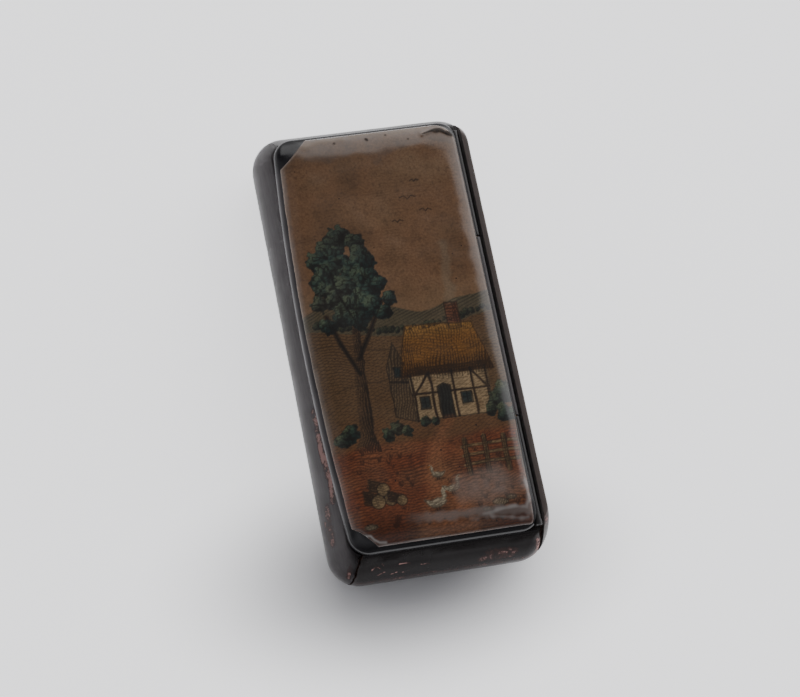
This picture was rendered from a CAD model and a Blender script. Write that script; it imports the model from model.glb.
"""Dressed model of an oblong papier-mache snuff box with a varnished print on its lid.

Sizes are in millimetres in the part's frame: X runs across the box towards the hinge, Y along
it and Z up from the flat underside. Meshes are made in metres.
"""

import itertools
import logging
import math
from dataclasses import Field, dataclass, field, replace
from enum import Enum

import bpy
import numpy as np
from bpy.types import Material, Node, NodeSocket, NodeTree, Object
from mathutils import Matrix, Vector
from mathutils.bvhtree import BVHTree
from numpy import ndarray as Array


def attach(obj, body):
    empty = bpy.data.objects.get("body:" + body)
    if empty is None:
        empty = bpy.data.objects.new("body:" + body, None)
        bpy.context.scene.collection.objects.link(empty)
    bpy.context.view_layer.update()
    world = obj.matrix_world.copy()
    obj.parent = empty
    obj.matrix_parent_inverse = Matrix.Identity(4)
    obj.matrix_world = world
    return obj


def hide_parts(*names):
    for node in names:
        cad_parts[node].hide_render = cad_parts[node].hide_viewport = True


MM = 0.001
log = logging.getLogger("snuff_box")

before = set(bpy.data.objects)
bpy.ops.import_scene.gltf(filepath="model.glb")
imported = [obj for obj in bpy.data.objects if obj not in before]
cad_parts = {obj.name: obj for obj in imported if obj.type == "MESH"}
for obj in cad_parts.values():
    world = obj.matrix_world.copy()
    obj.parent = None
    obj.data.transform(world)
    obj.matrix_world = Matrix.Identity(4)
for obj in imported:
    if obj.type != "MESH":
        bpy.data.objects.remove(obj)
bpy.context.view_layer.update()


class Body(str, Enum):
    """The two bodies that the hinge joins."""

    BOX = "box"
    LID = "lid"


class Cut(Enum):
    """What a cutter does to a solid."""

    KEEP = "INTERSECT"
    REMOVE = "DIFFERENCE"
    JOIN = "UNION"


class End(Enum):
    """The two short ends of the box."""

    NEAR = -1
    FAR = 1


# Sizes


@dataclass(frozen=True)
class Outline:
    """A rounded oblong seen from above, whose front side may bow outwards."""

    x0: float
    x1: float
    y0: float
    y1: float
    radius: float
    bow: float = 0.0

    def shrunk(self, inset: float) -> "Outline":
        """The outline drawn in by inset on every side."""
        x0, x1, y0, y1 = self.x0 + inset, self.x1 - inset, self.y0 + inset, self.y1 - inset
        return replace(self, x0=x0, x1=x1, y0=y0, y1=y1)

    def ring(self, z: float, corner_steps: int, side_step: float) -> Array:
        """Points round the outline at a height, anticlockwise from above.

        Args:
            z: the height.
            corner_steps: steps in each rounded corner.
            side_step: distance between points on the straight sides of a full-size box.

        Returns:
            An array of points, three coordinates each.
        """
        r = self.radius
        x0, x1, y0, y1 = self.x0 + r, self.x1 - r, self.y0 + r, self.y1 - r
        corners = [(x1, y1), (x0, y1), (x0, y0), (x1, y0)]
        parts = []
        for quarter, (cx, cy) in enumerate(corners):
            angle = (quarter + np.linspace(0, 1, corner_steps + 1)) * math.pi / 2
            arc = np.c_[cx + r * np.cos(angle), cy + r * np.sin(angle)]
            following = corners[(quarter + 1) % 4]
            turn = (quarter + 1) * math.pi / 2
            start = arc[-1]
            end = np.array([following[0] + r * math.cos(turn), following[1] + r * math.sin(turn)])
            count = int((BoxSizes.length if quarter % 2 else BoxSizes.width) / side_step)
            t = np.linspace(0, 1, count + 1)[1:-1, None]
            side = start + (end - start) * t
            if quarter == 1:
                side[:, 0] -= self.bow * (1 - (2 * t[:, 0] - 1) ** 2)
            parts += [arc, side]
        flat = np.concatenate(parts)
        return np.c_[flat, np.full(len(flat), z)]


@dataclass(frozen=True)
class BoxSizes:
    """Sizes of the whole box: the solid model's, and the fillet that only the dressed hollow has."""

    length: float = 90.0
    width: float = 42.4
    joint: float = 14.5
    lid_height: float = 3.8
    belly: float = 7.5
    underside_inset: float = 4.8
    front_taper: float = 2.9
    end_taper: float = 3.4
    hinge_side_taper: float = 1.0
    corner_radius: float = 6.1
    inner_corner_radius: float = 0.4
    base: float = 2.4
    wall: float = 2.3
    end_wall: float = 2.6
    hinge_wall: float = 2.1
    seam_lap: float = 3.3
    seam_lean: float = 0.45
    glue_line: float = 0.05
    open_seam: float = 0.7
    fillet_top: float = 3.0
    fillet_flare: float = 3.0
    rail_rise: float = 2.0
    rail_gap: float = 0.7
    rail_round: float = 0.35
    rail_end_inset: float = 1.2
    knuckle: float = 0.65
    knuckle_clearance: float = 0.12
    hinge_rise: float = 1.85
    running_gap: float = 0.3
    lid_edge_setback: float = 0.15
    near_barrel_inset: float = 0.7
    far_barrel_inset: float = 2.2
    middle_knuckle: tuple = (-19.3, 17.0)
    leaf_length: float = 5.4
    leaf_thickness: float = 1.7
    seat: float = 0.1

    @property
    def rail_top(self) -> float:
        """Height of the hinge-side wall."""
        return self.joint + self.rail_rise

    @property
    def rim_x(self) -> float:
        """Where the front wall's outside meets the joint."""
        return -self.width / 2 + self.front_taper

    @property
    def rim_y(self) -> float:
        """Where an end wall's outside meets the joint."""
        return self.length / 2 - self.end_taper

    @property
    def rail_x(self) -> float:
        """The inner face of the hinge-side wall."""
        return self.width / 2 - self.hinge_wall

    @property
    def hinge_x(self) -> float:
        """The hinge axis across the box."""
        return self.rail_x - self.rail_gap - self.knuckle

    @property
    def hinge_z(self) -> float:
        """The hinge axis above the underside."""
        return self.joint + self.hinge_rise

    @property
    def lid_edge_x(self) -> float:
        """The lid's edge beside the hinge."""
        return self.hinge_x - self.lid_edge_setback

    @property
    def cove(self) -> float:
        """Radius of the hollow in the lid's edge that turns round the knuckles."""
        return self.knuckle + self.knuckle_clearance

    @property
    def leaf_x(self) -> float:
        """The inner edge of the hinge leaf that is let into the lid."""
        return self.hinge_x - self.knuckle - self.leaf_length

    @property
    def barrel(self) -> tuple:
        """Where the row of knuckles starts and ends."""
        return -self.rim_y + self.near_barrel_inset, self.rim_y - self.far_barrel_inset

    def body_outline(self, z: float) -> Outline:
        """The body's outside, rolled under below the belly and drawn in above it.

        Args:
            z: the height.

        Returns:
            The outline at that height.
        """
        under = max(0.0, (self.belly - z) / self.belly)
        roll = self.underside_inset * (1 - math.sqrt(1 - under * under))
        drawn = min(max(0.0, (z - self.belly) / (self.joint - self.belly)) ** 2, 1.0)
        up_rail = max(0.0, (z - self.belly) / (self.rail_top - self.belly)) ** 2
        return Outline(
            x0=-self.width / 2 + roll + self.front_taper * drawn,
            x1=self.width / 2 - roll - self.hinge_side_taper * up_rail,
            y0=-self.length / 2 + roll + self.end_taper * drawn,
            y1=self.length / 2 - roll - self.end_taper * drawn,
            radius=self.corner_radius - min(roll, self.corner_radius) / 2 - self.front_taper * drawn,
        )

    def hollow_outline(self, z: float) -> Outline:
        """The inside of the walls, open towards the hinge side above its filleted bottom.

        Args:
            z: the height.

        Returns:
            The outline at that height.
        """
        outer = self.body_outline(z)
        opened = self.fillet_flare * max(0.0, z - self.fillet_top)
        return Outline(
            x0=outer.x0 + self.wall,
            x1=min(self.rail_x + opened, self.width / 2 + self.corner_radius),
            y0=outer.y0 + self.end_wall,
            y1=outer.y1 - self.end_wall,
            radius=max(outer.radius - self.wall, self.inner_corner_radius),
        )


# Random fields and meshes


@dataclass(frozen=True)
class Mottle:
    """A smooth random field, the same on each run."""

    seed: int
    grain: float
    table_size: int = 4096
    hash_factors: tuple = (73856093, 19349663, 83492791)

    def at(self, points: Array) -> Array:
        """Reads the field.

        Args:
            points: places in millimetres, three coordinates each.

        Returns:
            Values from -1 to 1.
        """
        cells = points / self.grain
        base = np.floor(cells).astype(np.int64)
        t = cells - base
        t = t * t * (3 - 2 * t)
        table = np.random.default_rng(self.seed).uniform(-1, 1, self.table_size)
        total = np.zeros(len(points))
        for corner in itertools.product((0, 1), repeat=3):
            k = (base + corner) * self.hash_factors
            value = table[(k[:, 0] ^ k[:, 1] ^ k[:, 2]) % self.table_size]
            total += value * np.prod(np.where(corner, t, 1 - t), axis=1)
        return total


def smooth_step(low: float, high: float, value: Array) -> Array:
    """0 at low and 1 at high, easing between them."""
    t = np.clip((value - low) / (high - low), 0, 1)
    return t * t * (3 - 2 * t)


def bump(away: Array, width: float | Array) -> Array:
    """1 where away is 0, falling off on both sides over a width."""
    return np.exp(-((away / width) ** 2))


def make_solid(name: str, points: Array, faces: list, material: Material) -> Object:
    """Makes a mesh object from points in millimetres.

    Args:
        name: the object's name.
        points: vertices, three coordinates each.
        faces: tuples of vertex numbers.
        material: what its faces are made of.

    Returns:
        The object, at the frame's origin.
    """
    mesh = bpy.data.meshes.new(name)
    mesh.from_pydata((np.asarray(points) * MM).tolist(), [], faces)
    mesh.update()
    mesh.materials.append(material)
    made = bpy.data.objects.new(name, mesh)
    bpy.context.scene.collection.objects.link(made)
    return made


def skin(rings: list) -> tuple:
    """Skins a closed solid through rings of equal count.

    Args:
        rings: arrays of points, the lowest first.

    Returns:
        The solid's points and its faces.
    """
    count = len(rings[0])
    points = np.concatenate(rings)
    around = np.arange(count)
    after = (around + 1) % count
    faces = []
    for level in range(len(rings) - 1):
        low, high = level * count, (level + 1) * count
        faces += np.c_[low + around, low + after, high + after, high + around].tolist()
    top = (len(rings) - 1) * count
    return points, [*faces, list(range(count))[::-1], list(range(top, top + count))]


def block(name: str, low: tuple, high: tuple, material: Material) -> Object:
    """Makes a box, as a cutter or a plain core that is cut further.

    Args:
        name: the object's name.
        low: its lowest corner.
        high: its highest corner.
        material: what it is made of.

    Returns:
        The object.
    """
    points = np.array(list(itertools.product(*zip(low, high))))
    faces = [(0, 1, 3, 2), (4, 6, 7, 5), (0, 4, 5, 1), (2, 3, 7, 6), (0, 2, 6, 4), (1, 5, 7, 3)]
    return make_solid(name, points, faces, material)


def turned(name: str, profile: list, x: float, z: float, segments: int, material: Material) -> Object:
    """A bar turned about a line along Y.

    Args:
        name: the object's name.
        profile: (place along Y, radius) pairs.
        x: where the line is across the box.
        z: how high the line is.
        segments: facets round the bar.
        material: what it is made of.

    Returns:
        The object.
    """
    angle = np.linspace(0, 2 * math.pi, segments, endpoint=False)
    rings = [np.c_[x + r * np.sin(angle), np.full(segments, y), z + r * np.cos(angle)] for y, r in profile]
    points, faces = skin(rings)
    return make_solid(name, points, faces, material)


def carve(piece: Object, cutter: Object, how: Cut) -> Object:
    """Cuts or joins a solid with another, which is used up, and bakes the result into its mesh.

    Args:
        piece: the solid that is changed.
        cutter: the other solid, whose faces bring their own material.
        how: what the cutter does.

    Returns:
        The changed piece.
    """
    modifier = piece.modifiers.new("carve", "BOOLEAN")
    modifier.object = cutter
    modifier.operation = how.value
    modifier.solver = "MANIFOLD"
    modifier.material_mode = "TRANSFER"
    evaluated = piece.evaluated_get(bpy.context.evaluated_depsgraph_get())
    mesh = bpy.data.meshes.new_from_object(evaluated)
    piece.modifiers.clear()
    piece.data = mesh
    bpy.data.objects.remove(cutter)
    return piece


def copy_of(source: Object, name: str) -> Object:
    """Copies an object and its mesh.

    Args:
        source: the object.
        name: the copy's name.

    Returns:
        The copy.
    """
    made = source.copy()
    made.data = source.data.copy()
    made.name = name
    bpy.context.scene.collection.objects.link(made)
    return made


def points_of(piece: Object) -> Array:
    """Reads a mesh's vertices.

    Args:
        piece: the object.

    Returns:
        Its points in millimetres.
    """
    flat = np.zeros(len(piece.data.vertices) * 3)
    piece.data.vertices.foreach_get("co", flat)
    return flat.reshape(-1, 3) / MM


def lay_values(piece: Object, name: str, values: Array) -> None:
    """Stores one number, or one linear colour, for each vertex.

    Args:
        piece: the object.
        name: the attribute's name.
        values: a number or colour for each vertex.
    """
    kind, key = ("FLOAT", "value") if values.ndim == 1 else ("FLOAT_COLOR", "color")
    layer = piece.data.attributes.new(name, kind, "POINT")
    layer.data.foreach_set(key, values.astype(np.float32).ravel())


def settle(piece: Object, body: Body, nodes: tuple, sharp: float = 38.0) -> None:
    """Shades a finished piece, puts it on its body and lets it stand for solids.

    Args:
        piece: the finished piece.
        body: the body that it moves with.
        nodes: solids that it stands for, if any.
        sharp: edges over this angle in degrees stay crisp.
    """
    piece.data.shade_smooth()
    piece.data.set_sharp_from_angle(angle=math.radians(sharp))
    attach(piece, body.value)
    if nodes:
        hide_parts(*nodes)
    log.info("%s: %d faces on %s", piece.name, len(piece.data.polygons), body.value)


# Finishes


def linear(colour: str) -> tuple:
    """Turns an sRGB hex colour into linear red, green, blue and alpha."""
    parts = [int(colour[i : i + 2], 16) / 255 for i in (1, 3, 5)]
    return (*(c / 12.92 if c <= 0.04045 else ((c + 0.055) / 1.055) ** 2.4 for c in parts), 1.0)


def plug(node: Node, inputs: dict) -> None:
    """Links or sets a node's inputs.

    Args:
        node: the node.
        inputs: for each input a plain value, an output, or a node that stands for its first output in use.
    """
    for socket, value in inputs.items():
        if isinstance(value, Node):
            value = next(output for output in value.outputs if output.enabled)
        if isinstance(value, NodeSocket):
            node.id_data.links.new(value, node.inputs[socket])
        else:
            node.inputs[socket].default_value = value


def add(tree: NodeTree, kind: str, inputs: dict | None = None, **settings: object) -> Node:
    """Adds a node.

    Args:
        tree: where the node goes.
        kind: the node's type, without the words before it that all shader nodes share.
        inputs: for each input, another node, one of its outputs or a plain value.
        **settings: the node's own properties.

    Returns:
        The node.
    """
    made = tree.nodes.new("ShaderNode" + kind)
    for key, value in settings.items():
        setattr(made, key, value)
    plug(made, inputs or {})
    return made


def per_metre(millimetres: float) -> float:
    """Texture scale whose features are that many millimetres across."""
    return 1 / (millimetres * MM)


@dataclass(frozen=True)
class Finish:
    """A material that builds its own nodes."""

    name: str

    def start(self) -> tuple:
        """Starts the material.

        Returns:
            The material, its node tree, its surface shader and its object coordinates.
        """
        material = bpy.data.materials.new(self.name)
        material.use_nodes = True
        tree = material.node_tree
        return material, tree, tree.nodes["Principled BSDF"], add(tree, "TexCoord").outputs["Object"]


@dataclass(frozen=True)
class JapannedBoard(Finish):
    """Papier-mache stoved and rubbed with black japan: deep gloss with rub marks over brown board."""

    lacquer: str = "#0e0b0b"
    faded: str = "#1a1413"
    undercoat: str = "#3f2824"
    board: str = "#b08a84"
    grime: str = "#5b5557"
    roughness: float = 0.2
    powder: float = 0.85

    def build(self) -> Material:
        """Makes the material.

        Returns:
            The material.
        """
        material, tree, shader, place = self.start()
        cloud = add(tree, "TexNoise", {"Vector": place, "Scale": per_metre(9), "Detail": 5.0})
        black = add(tree, "Mix", {0: cloud, 6: linear(self.lacquer), 7: linear(self.faded)}, data_type="RGBA")
        # Fine scuffs 0.3 mm wide run along the box and hold grime, which greys the handled sides
        dusty = add(tree, "Attribute", attribute_name="dust").outputs["Fac"]
        along = add(tree, "Mapping", {"Vector": place, "Scale": (1.0, 0.14, 1.0)})
        lines = {"Vector": along, "Scale": per_metre(0.5), "Detail": 4.0, "Roughness": 0.6}
        scuffs = add(tree, "TexNoise", lines)
        held = {"Value": scuffs, "From Min": 0.3, "From Max": 0.72, "To Min": 0.78, "To Max": 1.2}
        grimy = {0: dusty, 1: add(tree, "MapRange", held)}
        film = add(tree, "Math", grimy, operation="MULTIPLY", use_clamp=True)
        soiled = add(tree, "Mix", {0: film, 6: black, 7: linear(self.grime)}, data_type="RGBA")
        # Rubbed-through japan goes from black by way of a brown undercoat to the pinkish board
        worn = add(tree, "Attribute", attribute_name="wear").outputs["Fac"]
        felt = {"Vector": place, "Scale": per_metre(0.7), "Detail": 4.0, "Roughness": 0.7}
        fibres = add(tree, "TexNoise", felt)
        ragged = add(tree, "Math", {0: worn, 1: fibres}, operation="ADD")
        through = add(tree, "MapRange", {"Value": ragged, "From Min": 0.98, "From Max": 1.12})
        thin = add(tree, "MapRange", {"Value": ragged, "From Min": 0.72, "From Max": 1.02})
        brown = add(tree, "Mix", {0: thin, 6: soiled, 7: linear(self.undercoat)}, data_type="RGBA")
        colour = add(tree, "Mix", {0: through, 6: brown, 7: linear(self.board)}, data_type="RGBA")
        # Handling leaves patches a few millimetres across duller than the rest
        handled = add(tree, "TexNoise", {"Vector": place, "Scale": per_metre(5), "Detail": 4.0})
        sheen = {"To Min": self.roughness - 0.04, "To Max": self.roughness + 0.1}
        gloss = add(tree, "MapRange", {"Value": handled, "From Min": 0.35, "From Max": 0.7, **sheen})
        dulled = add(tree, "Math", {0: film, 1: 0.22, 2: gloss}, operation="MULTIPLY_ADD")
        rough = add(tree, "Mix", {0: through, 2: dulled, 3: 0.75}, data_type="FLOAT")
        # Grime glows softly where it is seen edge on; a rubbed end reflects less than the rest
        powder = add(tree, "Math", {0: film, 1: self.powder}, operation="MULTIPLY")
        dull = add(tree, "Attribute", attribute_name="dull").outputs["Fac"]
        shine = add(tree, "MapRange", {"Value": dull, "To Min": 0.5, "To Max": 0.1})
        # Brushed lacquer settles into shallow swells about 1.5 mm across
        swell = add(tree, "TexNoise", {"Vector": place, "Scale": per_metre(1.6), "Detail": 3.0})
        sunk = add(tree, "Math", {0: through, 1: -0.8, 2: swell}, operation="MULTIPLY_ADD")
        relief = add(tree, "Bump", {"Height": sunk, "Strength": 0.12, "Distance": 0.0001})
        plug(shader, {
            "Base Color": colour, "Roughness": rough, "Normal": relief, "Sheen Weight": powder,
            "Specular IOR Level": shine, "Sheen Roughness": 0.35, "IOR": 1.46,
        })
        return material


@dataclass(frozen=True)
class PressedBoard(Finish):
    """Bare pressed paper board at a break or seam: dull, fibrous and layered."""

    pale: str = "#57392d"
    dark: str = "#241612"

    def build(self) -> Material:
        """Makes the material.

        Returns:
            The material.
        """
        material, tree, shader, place = self.start()
        # Paper layers of 0.25 mm, a third of a wave's scale, lie flat in the board
        bands = {"Vector": place, "Scale": per_metre(0.8), "Distortion": 7.0}
        layers = add(tree, "TexWave", bands, bands_direction="Z").outputs["Fac"]
        fluff = add(tree, "TexNoise", {"Vector": place, "Scale": per_metre(0.5), "Detail": 5.0})
        felt = add(tree, "Math", {0: layers, 1: fluff}, operation="MULTIPLY")
        colour = add(tree, "Mix", {0: felt, 6: linear(self.dark), 7: linear(self.pale)}, data_type="RGBA")
        relief = add(tree, "Bump", {"Height": felt, "Strength": 0.3, "Distance": 0.0001})
        plug(shader, {"Base Color": colour, "Normal": relief, "Roughness": 0.85, "IOR": 1.45})
        return material


@dataclass(frozen=True)
class InnerLacquer(Finish):
    """Oil lacquer brushed over the inside, dulled and stained by snuff."""

    lacquer: str = "#4a1f16"
    stain: str = "#2a1510"
    dust: str = "#6a4428"

    def build(self) -> Material:
        """Makes the material.

        Returns:
            The material.
        """
        material, tree, shader, place = self.start()
        cloud = add(tree, "TexNoise", {"Vector": place, "Scale": per_metre(7), "Detail": 6.0})
        base = add(tree, "Mix", {0: cloud, 6: linear(self.lacquer), 7: linear(self.stain)}, data_type="RGBA")
        # Grains of snuff 0.3 mm across cling to the lacquer
        grains = add(tree, "TexVoronoi", {"Vector": place, "Scale": per_metre(0.9)})
        caught = add(tree, "MapRange", {"Value": grains, "From Min": 0.28, "From Max": 0.16})
        patchy = add(tree, "Math", {0: caught, 1: cloud}, operation="MULTIPLY")
        colour = add(tree, "Mix", {0: patchy, 6: base, 7: linear(self.dust)}, data_type="RGBA")
        rough = add(tree, "MapRange", {"Value": cloud, "To Min": 0.35, "To Max": 0.65})
        relief = add(tree, "Bump", {"Height": patchy, "Strength": 0.4, "Distance": 0.0001})
        plug(shader, {"Base Color": colour, "Roughness": rough, "Normal": relief, "IOR": 1.5})
        return material


@dataclass(frozen=True)
class VarnishedPaper(Finish):
    """Hand-coloured engraving under yellowed spirit varnish: warm, glossy, milky at its edges."""

    ink: str = "#17120f"
    bloom: str = "#4d4038"
    ochre: str = "#5a462e"
    torn: str = "#8e8986"
    speck: str = "#1d1410"

    def build(self) -> Material:
        """Makes the material.

        Returns:
            The material.
        """
        material, tree, shader, place = self.start()
        painted = {
            name: add(tree, "Attribute", attribute_name=name).outputs["Color" if name == "wash" else "Fac"]
            for name in ("wash", "ink", "bloom", "ochre", "torn", "bare")
        }
        glossy = add(tree, "MapRange", {"Value": painted["bare"], "To Min": 1.0, "To Max": 0.12})
        # Rag paper shows as a cloudy grain about 0.4 mm across
        rag = {"Vector": place, "Scale": per_metre(0.45), "Detail": 5.0, "Roughness": 0.65}
        grain = add(tree, "TexNoise", rag)
        lift = {"Value": grain, "From Min": 0.3, "From Max": 0.7, "To Min": 0.68, "To Max": 1.14}
        bite = {"Value": grain, "From Min": 0.25, "From Max": 0.6, "To Min": 0.6, "To Max": 1.0}
        toned = {0: painted["wash"], "Scale": add(tree, "MapRange", lift)}
        paper = add(tree, "VectorMath", toned, operation="SCALE")
        inked = {0: painted["ink"], 1: add(tree, "MapRange", bite)}
        press = add(tree, "Math", inked, operation="MULTIPLY", use_clamp=True)
        printed = add(tree, "Mix", {0: press, 6: paper, 7: linear(self.ink)}, data_type="RGBA")
        # Fly specks and pits are 0.25 mm dots, a few to the square centimetre
        cells = add(tree, "TexVoronoi", {"Vector": place, "Scale": per_metre(2.4)})
        dots = add(tree, "MapRange", {"Value": cells, "From Min": 0.085, "From Max": 0.05})
        pick = add(tree, "SeparateColor", {0: cells.outputs["Color"]})
        chosen = add(tree, "Math", {0: pick, 1: 0.68}, operation="GREATER_THAN")
        specks = add(tree, "Math", {0: dots, 1: chosen}, operation="MULTIPLY")
        dotted = add(tree, "Mix", {0: specks, 6: printed, 7: linear(self.speck)}, data_type="RGBA")
        # Varnish that has bloomed is grey pink, and ochre where it lies thick along the far edge
        cast = {0: painted["ochre"], 6: linear(self.bloom), 7: linear(self.ochre)}
        milk = add(tree, "Mix", cast, data_type="RGBA")
        hazed = add(tree, "Mix", {0: painted["bloom"], 6: dotted, 7: milk}, data_type="RGBA")
        edged = add(tree, "Mix", {0: painted["torn"], 6: hazed, 7: linear(self.torn)}, data_type="RGBA")
        # Thick varnish dries in shallow ripples 3 to 6 mm across
        ripple = add(tree, "TexNoise", {"Vector": place, "Scale": per_metre(5.0), "Detail": 0.6})
        relief = add(tree, "Bump", {"Height": ripple, "Strength": 0.4, "Distance": 0.0005})
        plug(shader, {
            "Base Color": edged, "Roughness": 0.6, "Normal": relief, "Specular IOR Level": 0.1,
            "Coat Weight": glossy, "Coat Normal": relief, "Coat Roughness": 0.17, "Coat IOR": 1.5,
        })
        return material


@dataclass(frozen=True)
class DrawnBrass(Finish):
    """Drawn brass wire, dulled by handling: yellow brown with lengthwise draw lines."""

    bright: str = "#b08a4a"
    dull: str = "#5d4524"

    def build(self) -> Material:
        """Makes the material.

        Returns:
            The material.
        """
        material, tree, shader, place = self.start()
        # Die marks are 0.05 mm wide on the wire and run along it
        along = add(tree, "Mapping", {"Vector": place, "Scale": (1.0, 0.04, 1.0)})
        lines = add(tree, "TexNoise", {"Vector": along, "Scale": per_metre(0.12), "Detail": 3.0})
        colour = add(tree, "Mix", {0: lines, 6: linear(self.dull), 7: linear(self.bright)}, data_type="RGBA")
        rough = add(tree, "MapRange", {"Value": lines, "To Min": 0.25, "To Max": 0.5})
        plug(shader, {"Base Color": colour, "Roughness": rough, "Metallic": 1.0})
        return material


@dataclass(frozen=True)
class BackdropPaper(Finish):
    """Matt seamless paper on a lit table: even and pale, with a faint glow from below."""

    tint: str = "#f6f6f8"
    glow: tuple = (0.0, 1.25)
    shade: tuple = (-0.003, -0.042, 0.0)
    spread: tuple = (0.003, 0.027)
    across: float = 0.5

    def build(self) -> Material:
        """Makes the material.

        Returns:
            The material.
        """
        material, tree, shader, place = self.start()
        tooth = add(tree, "TexNoise", {"Vector": place, "Scale": per_metre(1.2), "Detail": 3.0})
        relief = add(tree, "Bump", {"Height": tooth, "Strength": 0.04, "Distance": 0.0001})
        # The table's lamps stand behind the box, so their glow is least under its near end
        oval = add(tree, "VectorMath", {0: place, 1: (self.across, 1.0, 1.0)}, operation="MULTIPLY")
        away = add(tree, "VectorMath", {0: oval, 1: self.shade}, operation="DISTANCE")
        reach = {"From Min": self.spread[0], "From Max": self.spread[1]}
        level = {"To Min": self.glow[0], "To Max": self.glow[1]}
        lit = add(tree, "MapRange", {"Value": away, **reach, **level}, interpolation_type="SMOOTHSTEP")
        plug(shader, {
            "Base Color": linear(self.tint), "Roughness": 0.95, "Normal": relief, "Specular IOR Level": 0.2,
            "Emission Color": linear(self.tint), "Emission Strength": lit,
        })
        return material


def built(finish: Finish) -> Field:
    """A field that holds a finish's material, made once."""
    return field(default_factory=finish.build)


@dataclass
class Finishes:
    """Every material of the box, built once."""

    japan: Material = built(JapannedBoard("japanned_board"))
    lid_japan: Material = built(JapannedBoard("polished_japanned_lid", "#0b0c0f", "#141417", roughness=0.1))
    rail: Material = built(JapannedBoard(
        "rubbed_japanned_rail", "#121011", "#211c1b", grime="#4f433e", roughness=0.28, powder=0.3
    ))
    strip: Material = built(JapannedBoard("japanned_hinge_strip", "#121010", "#1d1a19", roughness=0.34))
    board: Material = built(PressedBoard("pressed_paper_board"))
    inside: Material = built(InnerLacquer("brushed_inner_lacquer"))
    print_paper: Material = built(VarnishedPaper("varnished_engraving_paper"))
    brass: Material = built(DrawnBrass("drawn_brass_wire"))
    backdrop: Material = built(BackdropPaper("seamless_backdrop_paper"))


# The box's body


@dataclass(frozen=True)
class Rub:
    """A place where the japan is rubbed through: two ends, a half-width and a strength."""

    start: tuple
    end: tuple
    half_width: float
    strength: float

    def at(self, points: Array) -> Array:
        """Works out how far the japan is gone.

        Args:
            points: places in millimetres, three coordinates each.

        Returns:
            From 0 to the rub's strength for each place.
        """
        a, b = np.array(self.start), np.array(self.end)
        along = np.clip((points - a) @ (b - a) / ((b - a) @ (b - a)), 0, 1)
        away = np.linalg.norm(points - a - along[:, None] * (b - a), axis=1)
        return self.strength * (1 - smooth_step(self.half_width * 0.4, self.half_width * 1.5, away))


@dataclass(frozen=True)
class Crack:
    """An opened seam: its width, wander, lowest point and place across the box.

    The blade that cuts it starts a little outside the wall and goes in to its depth.
    """

    seed: int
    width: float
    wander: float
    low: float
    x: float = 0.0
    leans: bool = False
    steps: int = 40
    outside: float = 1.0
    depth: float = 1.3


# Rubbed places on the front wall, the near end wall and the corners
BODY_RUBS = (
    Rub((-19.5, -12.2, 12.9), (-19.5, -16.0, 12.9), 0.95, 0.5),
    Rub((-19.5, -16.8, 12.8), (-19.4, -21.6, 13.0), 0.85, 0.62),
    Rub((-19.3, -21.4, 13.2), (-19.1, -24.8, 13.4), 1.0, 0.62),
    Rub((-18.9, -25.4, 13.6), (-19.2, -29.8, 13.3), 0.9, 0.56),
    Rub((-20.3, -30.6, 11.4), (-20.4, -37.2, 11.1), 1.2, 0.47),
    Rub((-20.9, -33.0, 10.2), (-20.9, -36.0, 10.0), 0.7, 0.47),
    Rub((-14.2, -43.6, 11.9), (-13.4, -43.2, 12.6), 0.2, 0.62),
    Rub((-13.4, -43.2, 12.6), (-12.5, -43.6, 11.9), 0.17, 0.62),
    Rub((-12.9, -44.4, 10.5), (-11.6, -44.1, 11.1), 0.18, 0.62),
    Rub((-12.2, -43.0, 12.9), (-11.9, -43.4, 12.4), 0.15, 0.62),
    Rub((-8.9, -43.3, 12.4), (-6.8, -43.4, 12.2), 0.16, 0.7),
    Rub((-10.5, -44.5, 10.1), (-9.3, -44.4, 10.5), 0.16, 0.7),
    Rub((-8.3, -44.5, 10.2), (-6.9, -44.4, 10.5), 0.15, 0.68),
    Rub((-4.8, -43.7, 11.5), (-3.0, -43.9, 11.4), 0.15, 0.68),
    Rub((8.3, -43.7, 11.7), (13.2, -43.8, 11.4), 1.2, 0.43),
    Rub((7.0, -44.3, 10.6), (12.6, -44.4, 10.4), 0.9, 0.4),
    Rub((-16.0, -45.0, 7.5), (17.5, -44.8, 8.2), 1.5, 0.34),
    Rub((18.0, -42.6, 13.4), (18.1, -44.4, 7.6), 0.75, 0.58),
    Rub((-18.2, -42.0, 13.6), (-18.3, -43.8, 9.2), 0.5, 0.52),
    Rub((19.4, 40.6, 16.4), (20.0, 38.6, 16.4), 0.9, 0.42),
    Rub((19.6, -39.6, 16.2), (20.0, -41.4, 14.6), 0.8, 0.55),
    Rub((20.2, -42.4, 12.4), (20.4, -43.2, 9.0), 0.5, 0.62),
    Rub((20.0, -14.0, 16.3), (20.0, 22.0, 16.3), 0.4, 0.3),
    Rub((21.0, -31.0, 8.9), (21.1, -17.0, 7.4), 0.9, 0.4),
    Rub((20.9, 2.0, 10.9), (21.0, 19.5, 9.6), 0.25, 0.47),
    Rub((20.4, 36.5, 12.6), (20.7, 39.5, 6.5), 1.0, 0.44),
    Rub((-9.0, 44.8, 8.4), (2.0, 44.9, 7.6), 0.7, 0.44),
    Rub((9.5, 44.2, 11.0), (14.0, 44.0, 9.8), 0.35, 0.5),
    Rub((-17.6, 42.2, 12.2), (-18.2, 42.4, 6.5), 0.5, 0.5),
)


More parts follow.
